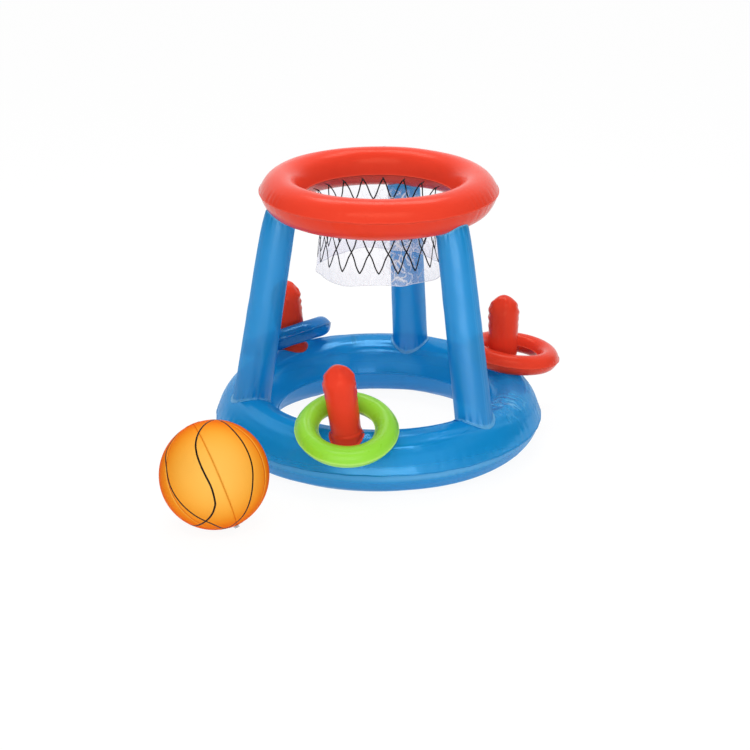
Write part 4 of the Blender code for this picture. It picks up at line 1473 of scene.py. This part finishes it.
@dataclass
class Valve:
    """An oral valve of soft clear vinyl and its plug, found where the CAD nodes of them are."""

    # Rounding of the valve's edges, of the root of its rim and of the plug's edges
    EDGE, ROOT, PLUG_EDGE = 0.25 * MM, 0.4 * MM, 0.3 * MM
    # The thumb recess in the cap: radius of its floor and of its edge as shares of the rim's
    RECESS = (0.5, 0.62)
    # Radius of the hole left on the plug's axis
    TIP = 0.02 * MM
    # The tab: how far it stands out, as a share of its length, its half angle, as a share of its
    # width over the rim's radius, and the share of that radius from which it grows
    TAB_OUT, TAB_HALF, TAB_FROM = 0.75, 0.55, 0.8

    label: str
    size: ValveSize
    body: str
    plug_body: str
    axis: np.ndarray

    def place(self) -> tuple[np.ndarray, np.ndarray]:
        """The valve's seat and the direction of the plug's tab, measured on the CAD nodes.

        The neck's end is the valve's lowest point along its axis, and the mean of the valve's
        points lies on the axis. The mean of the plug's points lies off it, towards the tab.

        Returns:
            The seat, and the tab's direction.
        """
        points = node_points(f"{self.label}_valve")
        middle = points.mean(axis=0)
        low = (points @ self.axis).min()
        seat = middle + (low + self.size.neck_depth - middle @ self.axis) * self.axis
        off = node_points(f"{self.label}_valve_plug").mean(axis=0) - seat
        off = off - (off @ self.axis) * self.axis
        return seat, off / np.linalg.norm(off)

    def stood(self, points: np.ndarray) -> np.ndarray:
        """Points of the valve's own frame, set on the seat with Z along the axis."""
        seat, tab = self.place()
        turn = np.stack([tab, np.cross(self.axis, tab), self.axis])
        return points @ turn + seat

    def rings(self) -> Surface:
        """The valve: flange, raised rim, neck and bore, turned from one closed profile."""
        size, soft, root = self.size, self.EDGE, self.ROOT
        low = -size.neck_depth
        profile = np.array([
            (size.flange_radius, 0), (size.flange_radius, size.flange - soft),
            (size.flange_radius - soft, size.flange),
            (size.rim_radius + root, size.flange), (size.rim_radius, size.flange + root),
            (size.rim_radius, size.rim_height - soft), (size.rim_radius - soft, size.rim_height),
            (size.bore_radius + soft, size.rim_height), (size.bore_radius, size.rim_height - soft),
            (size.bore_radius, low + soft), (size.bore_radius + soft, low),
            (size.neck_radius - soft, low), (size.neck_radius, low + soft),
            (size.neck_radius, 0)])
        return Surface(self.stood(revolved(profile, 48)), wrap_rows=True, wrap_columns=True)

    def plug(self) -> Surface:
        """The plug: a cap that covers the rim and runs out into a tab, and a stem for the bore.

        The cap's radius grows towards the tab's direction by a smooth bump as long as the tab.
        """
        size, soft, rim = self.size, self.PLUG_EDGE, self.size.rim_radius
        under = size.rim_height + SHEET_GAP
        top, end = under + size.cap, under - size.stem_length
        floor, edge = self.RECESS
        profile = np.array([
            (self.TIP, top - soft), (floor * rim, top - soft), (edge * rim, top),
            (rim - soft, top), (rim, top - soft), (rim, under + soft), (rim - soft, under),
            (size.stem_radius, under), (size.stem_radius, end + soft),
            (size.stem_radius - soft, end), (self.TIP, end)])
        points = revolved(profile, 64)
        angle = np.arctan2(points[..., 1], points[..., 0])
        reach = np.hypot(points[..., 0], points[..., 1])
        half = self.TAB_HALF * size.tab_width / rim
        tab = self.TAB_OUT * size.tab_length * np.exp(-(angle / half) ** 4)
        outer = np.clip((reach / rim - self.TAB_FROM) / (1 - self.TAB_FROM), 0, 1)
        points[..., 0] += tab * outer * (points[..., 2] >= under)
        return Surface(self.stood(points), wrap_rows=True, flip=False)

    def build(self, dresser: Dresser) -> None:
        """Make the valve and the plug, each in place of its CAD node."""
        for name, surface, body, stands_for in (
                (f"{self.label}_valve_body", self.rings(), self.body, f"{self.label}_valve"),
                (f"{self.label}_valve_stopper", self.plug(), self.plug_body,
                 f"{self.label}_valve_plug")):
            dresser.piece(name, surface.mesh(name), MOULDING, body, (stands_for,),
                          wall=0)


def node_points(name: str) -> np.ndarray:
    """The points of a CAD node at rest, each place once."""
    mesh = frame["nodes"][name].data
    numbers = np.empty(len(mesh.vertices) * 3)
    mesh.vertices.foreach_get("co", numbers)
    return np.unique(np.round(numbers.reshape(-1, 3), 6), axis=0)


# ---------------------------------------------------------------- the whole set


# Creased patches of the base ring, the deepest of which lies beside the right leg; the deeper
# ones also get painted highlight streaks along their folds
BASE_CREASES = tuple(
    Crease(math.radians(azimuth), middle * MM, reach * MM, depth * MM)
    for azimuth, middle, reach, depth in (
        (350, -12, 44, 2.4), (191, -6, 34, 0.8), (232, -4, 34, 0.8), (308, -4, 30, 0.5),
        (110, 0, 34, 0.6), (70, 0, 34, 0.6)))
# Each peg: its name, distance from the set's axis, azimuth, lean outwards and sideways, and seed
PEGS = (("peg_front", 265 * MM, 272.5, 7.0, 5.5, 41),
        ("peg_right", 262.5 * MM, 38.0, 0.0, 0.0, 52),
        ("peg_left", 259 * MM, 147.0, 4.0, -4.5, 63))
# Each toss ring: its name, finish, slot, centre, tilt, azimuth of the tilt, and seed
TOSS_RINGS = (
    ("toss_ring_front", GREEN, "green_vinyl", (0.0167, -0.28056, 0.12641), 20.0, 288.0, 71),
    ("toss_ring_right", RED, "red_vinyl", (0.2235, 0.17122, 0.12638), 7.0, 30.0, 72),
    ("toss_ring_left", PALE_BLUE, "pale_blue_vinyl", (-0.22959, 0.1482, 0.12401), 26.0, 150.0, 73))
# Radius and drop below the seam of the film's line, from the seam to the hem
SLEEVE_LINE = ((143.2 * MM, 0.0), (139.5 * MM, 0.0), (123 * MM, 3 * MM), (116 * MM, 19 * MM),
               (109 * MM, 68 * MM), (112 * MM, 106 * MM), (116 * MM, 139.5 * MM))


@dataclass
class BasketballSet:
    """Places of the sub-assemblies in the frame."""

    # Play between a valve's neck and the hole in its sheet
    NECK_PLAY = 0.3 * MM

    base_radius: float = 251 * MM
    base_tube: float = 56 * MM
    base_height: float = 54.74 * MM
    hoop_radius: float = 180 * MM
    hoop_tube: float = 36.5 * MM
    hoop_height: float = 483.35 * MM
    hoop_inner_lift: float = -8 * MM
    leg_out: tuple[float, float] = (3 * MM, 1 * MM)
    toss_radius: float = 71.5 * MM
    toss_tube: float = 19.2 * MM
    seam_radius: float = 143.5 * MM
    ball_centre: tuple[float, float, float] = (-0.16965, -0.45863, 0.09326)
    ball_radius: float = 94.5 * MM

    def root(self) -> np.ndarray:
        """The set's axis on the floor: the middle of the base ring's box."""
        low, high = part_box("base_ring_top_panel")
        return np.array([(low[0] + high[0]) / 2, (low[1] + high[1]) / 2, 0])

    def valves(self, dresser: Dresser) -> dict[str, Hole]:
        """Make the six valves.

        Args:
            dresser: makes the pieces.

        Returns:
            For each chamber, the hole that its valve's neck needs in the sheet.
        """
        joints = {joint["name"]: joint for joint in frame["record"]["behaviour"]["joints"]}
        holes = {}
        for label, size, body in (("base_ring", LARGE_VALVE, "frame"),
                                  ("hoop_ring", LARGE_VALVE, "frame"),
                                  ("toss_ring_front", SMALL_VALVE, "toss_ring_front"),
                                  ("toss_ring_right", SMALL_VALVE, "toss_ring_right"),
                                  ("toss_ring_left", SMALL_VALVE, "toss_ring_left"),
                                  ("ball", SMALL_VALVE, "ball")):
            axis = np.array(joints[f"{label}_plug_pull"]["axis"], dtype=float)
            valve = Valve(label, size, body, f"{label}_plug", axis / np.linalg.norm(axis))
            valve.build(dresser)
            holes[label] = Hole(tuple(valve.place()[0]), tuple(valve.axis),
                                size.neck_radius + self.NECK_PLAY)
        return holes

    def legs(self, dresser: Dresser, root: np.ndarray, base: InflatedRing,
             hoop: InflatedRing) -> None:
        """Make the three legs, a third of a turn apart, from the base ring to the hoop ring."""
        foot_out, head_out = self.leg_out
        foot = np.array([self.base_radius + foot_out, 0, self.base_height])
        head = np.array([self.hoop_radius + head_out, 0, self.hoop_height])
        for number, label in enumerate(("leg_rear", "leg_left", "leg_right")):
            spin = math.pi / 2 + number * TAU / 3
            run = turned((head - foot)[None, :], 0, spin)[0]
            length = float(np.linalg.norm(run))
            axis = run / length
            outward = turned(np.array([[1.0, 0, 0]]), 0, spin)[0]
            outward = outward - (outward @ axis) * axis
            Leg(label, "blue_vinyl", TUBE_BLUE, turned(foot[None, :], 0, spin)[0] + root, axis,
                outward / np.linalg.norm(outward), base, sides=128, collar=4 * MM,
                seed=20 + 5 * number, upper=hoop, length=length).build(dresser)

    def pegs(self, dresser: Dresser, root: np.ndarray, base: InflatedRing) -> None:
        """Make the three pegs, whose side welds face as in the photograph."""
        for label, away, azimuth, out_lean, side_lean, seed in PEGS:
            spin = math.radians(azimuth)
            turn = np.array(Matrix.Rotation(spin, 3, "Z")
                            @ Matrix.Rotation(math.radians(out_lean), 3, "Y")
                            @ Matrix.Rotation(math.radians(side_lean), 3, "X"))
            crown = root + [away * math.cos(spin), away * math.sin(spin),
                            self.base_height + self.base_tube]
            Peg(label, "red_vinyl", RED, crown, turn[:, 2], turn[:, 0], base, sides=120,
                collar=3 * MM, seed=seed, weld_turn=PHOTO_AZIMUTH - spin).build(dresser)

    def build(self, dresser: Dresser) -> None:
        """Make every sub-assembly in order."""
        root = self.root()
        log.info("set axis at %s", root.round(5))
        holes = self.valves(dresser)
        base = InflatedRing(
            "base_ring", "frame", "blue_vinyl", BLUE, tuple(root + [0, 0, self.base_height]),
            self.base_radius, self.base_tube, weld_edge=3 * MM, steps=720, section_steps=44,
            seed=5, outer_lift=-5 * MM, inner_lift=-5 * MM, point_share=0.08,
            wave_height=1.3 * MM, weld_pale=0.15, margin_painted_reflection=0.55,
            holes=(holes["base_ring"],), creases=BASE_CREASES, on_floor=True)
        base.build(dresser)
        hoop = InflatedRing(
            "hoop_ring", "frame", "red_vinyl", RED, tuple(root + [0, 0, self.hoop_height]),
            self.hoop_radius, self.hoop_tube, weld_edge=4 * MM, steps=600, section_steps=40,
            seed=9, outer_lift=4 * MM, inner_lift=self.hoop_inner_lift,
            pucker_depth=0.22, pucker_length=14 * MM, pucker_fade=7 * MM, weld_sway=0.35 * MM,
            inner_gap=0.9 * MM, holes=(holes["hoop_ring"],))
        hoop.build(dresser)
        self.legs(dresser, root, base, hoop)
        self.pegs(dresser, root, base)
        for label, look, slot, centre, tilt, azimuth, seed in TOSS_RINGS:
            InflatedRing(
                label, label, slot, look, tuple(root + np.array(centre)), self.toss_radius,
                self.toss_tube, weld_edge=2.3 * MM, tilt=math.radians(tilt),
                azimuth=math.radians(azimuth), flange=0.9 * MM, pucker_depth=0.3,
                pucker_fade=4 * MM, pucker_length=9 * MM, weld_sway=0.3 * MM, slack=0.012,
                steps=300, section_steps=30, seed=seed, holes=(holes[label],)).build(dresser)

        seam = root + [0, 0, self.hoop_height + self.hoop_inner_lift]
        NetSleeve(tuple(seam), self.seam_radius, SLEEVE_LINE).build(dresser)
        Ball(tuple(root + np.array(self.ball_centre)), self.ball_radius, lean=math.radians(32),
             lean_axis=math.radians(244), spin=math.radians(-1)).build(dresser)


# ---------------------------------------------------------------- studio


@dataclass(frozen=True)
class Softbox:
    """A rectangular lamp: azimuth from the camera and elevation, distance, size and power in W."""

    name: str
    azimuth: float
    elevation: float
    distance: float
    size: tuple[float, float]
    power: float


@dataclass
class Studio:
    """White floor, two softboxes in front and one high up behind, and a white sky.

    The camera stands on the photograph's side, and the lamps and the sky keep to that side.
    """

    # The camera's sensor in mm and its reach in m, and half the floor's width
    SENSOR, CLIP_END, FLOOR_REACH = 36.0, 60.0, 14.0
    # Size of the clouds in the floor's paper, and its two greys
    FIBRE, PAPER = 90 * MM, ("#F4F4F4", "#F8F8F8")
    # Strength of the floor's own white for the camera, and its share over the paper's colour
    FLOOR_WHITE, FLOOR_SHARE = 1.04, 0.9
    # The sky in a gloss, by the parts of a unit direction: the ceiling darkens over the first
    # range upwards and comes up over the second towards the camera, and the sides darken over
    # the third to the right and left
    CEILING, CAMERA_SIDE, SIDES = (0.5, 0.82), (-0.3, 0.15), (0.6, 0.9)
    DARK = "#505050"
    # Linear grey of the even light
    AMBIENT = 0.54
    # Height at which the softboxes point
    AIM = 0.25
    SOFTBOXES = (
        Softbox("front_softbox", 0.0, math.radians(52), 2.8, (2.4, 0.6), 21.0),
        Softbox("front_wall", 0.0, math.radians(3), 3.6, (3.2, 1.0), 29.0),
        Softbox("top_strip", math.pi, math.radians(70), 1.9, (1.6, 0.6), 15.0))

    axis: np.ndarray
    azimuth: float = PHOTO_AZIMUTH
    distance: float = 3.5
    height: float = 1.487
    pitch: float = math.radians(21.31)
    yaw: float = 0.0020
    focal_pixels: float = 1976.0
    frame_pixels: float = 750.0

    def toward(self, azimuth: float, elevation: float) -> Vector:
        """Direction from the object to a viewer at this azimuth and elevation."""
        return Vector((math.sin(azimuth) * math.cos(elevation),
                       -math.cos(azimuth) * math.cos(elevation), math.sin(elevation)))

    def camera(self) -> None:
        """The camera of the photograph: 3.5 m from the set's axis and 1.487 m up."""
        data = bpy.data.cameras.new("photo_camera")
        data.sensor_width = self.SENSOR
        data.lens = self.SENSOR * self.focal_pixels / self.frame_pixels
        data.clip_end = self.CLIP_END
        thing = bpy.data.objects.new("photo_camera", data)
        away = self.toward(self.azimuth, 0) * self.distance
        thing.location = (self.axis[0] + away.x, self.axis[1] + away.y, self.height)
        thing.rotation_euler = (math.pi / 2 - self.pitch, 0, self.azimuth + self.yaw)
        bpy.context.scene.collection.objects.link(thing)
        bpy.context.scene.camera = thing

    def lamp(self, box: Softbox) -> None:
        """Put up a softbox that faces the set."""
        data = bpy.data.lights.new(box.name, "AREA")
        data.shape = "RECTANGLE"
        data.size, data.size_y = box.size
        data.energy = box.power
        thing = bpy.data.objects.new(box.name, data)
        way = self.toward(self.azimuth + box.azimuth, box.elevation)
        thing.location = Vector((self.axis[0], self.axis[1], self.AIM)) + way * box.distance
        thing.rotation_euler = way.to_track_quat("Z", "Y").to_euler()
        bpy.context.scene.collection.objects.link(thing)

    def floor(self) -> None:
        """A matt white floor that shows white to the camera and keeps a faint shadow."""
        mesh = bpy.data.meshes.new("studio_floor")
        reach = self.FLOOR_REACH
        mesh.from_pydata([(-reach, -reach, 0), (reach, -reach, 0), (reach, reach, 0),
                          (-reach, reach, 0)], [], [(0, 1, 2, 3)])
        thing = bpy.data.objects.new("studio_floor", mesh)
        bpy.context.scene.collection.objects.link(thing)
        made = bpy.data.materials.new("matt_white_backdrop_paper")
        made.use_nodes = True
        tree = made.node_tree
        shader = tree.nodes["Principled BSDF"]
        place = node(tree, "TexCoord").outputs["Object"]
        fibre = node(tree, "TexNoise", {"Vector": place, "Scale": 1 / self.FIBRE, "Detail": 3.0})
        paper = node(tree, "Mix", {0: fibre.outputs["Fac"], 6: linear(self.PAPER[0]),
                                   7: linear(self.PAPER[1])}, data_type="RGBA")
        tree.links.new(paper.outputs[2], shader.inputs["Base Color"])
        shader.inputs["Roughness"].default_value = 0.9
        shader.inputs["Specular IOR Level"].default_value = 0.1
        white = node(tree, "Emission", {"Color": (1, 1, 1, 1), "Strength": self.FLOOR_WHITE})
        seen = self.seen_ray(tree)
        share = node(tree, "Math", {0: seen, 1: self.FLOOR_SHARE}, operation="MULTIPLY")
        blend = node(tree, "MixShader", {0: share.outputs[0], 1: shader.outputs[0],
                                         2: white.outputs[0]})
        tree.links.new(blend.outputs[0], tree.nodes["Material Output"].inputs["Surface"])
        mesh.materials.append(made)

    @staticmethod
    def seen_ray(tree: bpy.types.NodeTree) -> bpy.types.NodeSocket:
        """1 for a ray from the camera or off or through a glossy surface, else 0."""
        path = node(tree, "LightPath")
        glossy = node(tree, "Math", {0: path.outputs["Is Camera Ray"],
                                     1: path.outputs["Is Glossy Ray"]}, operation="MAXIMUM")
        return node(tree, "Math", {0: glossy.outputs[0], 1: path.outputs["Is Transmission Ray"]},
                    operation="MAXIMUM").outputs[0]

    def sky(self) -> None:
        """White to the camera, a cove in a gloss, and an even grey light for the rest.

        In a gloss the sky is white up to 30 degrees above the horizon. Higher up on the camera's
        side it falls to a dark ceiling, which is fully dark from 55 degrees, and it also falls to
        dark at both sides of the set.
        """
        world = bpy.data.worlds.new("white_studio")
        bpy.context.scene.world = world
        world.use_nodes = True
        tree = world.node_tree
        back = tree.nodes["Background"]
        way = node(tree, "TexCoord").outputs["Generated"]

        def ramp(value: bpy.types.NodeSocket, span: tuple[float, float]) -> bpy.types.NodeSocket:
            """0 up to the span's start, 1 from its end on."""
            return node(tree, "MapRange", {"Value": value, "From Min": span[0],
                                           "From Max": span[1]}).outputs["Result"]

        def part(azimuth: float) -> bpy.types.NodeSocket:
            """The direction's part towards an azimuth."""
            return node(tree, "VectorMath", {0: way, 1: self.toward(azimuth, 0)},
                        operation="DOT_PRODUCT").outputs["Value"]

        high = ramp(node(tree, "SeparateXYZ", {0: way}).outputs["Z"], self.CEILING)
        camera_side = ramp(part(self.azimuth), self.CAMERA_SIDE)
        ceiling = node(tree, "Math", {0: high, 1: camera_side}, operation="MULTIPLY")
        side = node(tree, "Math", {0: part(self.azimuth + math.pi / 2)}, operation="ABSOLUTE")
        either = node(tree, "Math", {0: ceiling.outputs[0], 1: ramp(side.outputs[0], self.SIDES)},
                      operation="MAXIMUM")
        dark = node(tree, "Math", {0: either.outputs[0],
                                   1: node(tree, "LightPath").outputs["Is Camera Ray"]},
                    operation="SUBTRACT", use_clamp=True)
        colour = node(tree, "Mix", {0: dark.outputs[0], 6: (1, 1, 1, 1), 7: linear(self.DARK)},
                      data_type="RGBA")
        even = (self.AMBIENT, self.AMBIENT, self.AMBIENT, 1)
        light = node(tree, "Mix", {0: self.seen_ray(tree), 6: even, 7: colour.outputs[2]},
                     data_type="RGBA")
        tree.links.new(light.outputs[2], back.inputs["Color"])

    def build(self) -> None:
        """Set up the camera, floor, softboxes and sky."""
        self.camera()
        self.floor()
        for box in self.SOFTBOXES:
            self.lamp(box)
        self.sky()
        bpy.context.scene.view_settings.view_transform = "Standard"


def main() -> None:
    """Build the set and the studio."""
    logging.basicConfig(level=logging.INFO, format="%(message)s")
    the_set = BasketballSet()
    dresser = Dresser()
    the_set.build(dresser)
    Studio(the_set.root()).build()
    log.info("%d pieces", dresser.count)


if __name__ == "__main__":
    main()
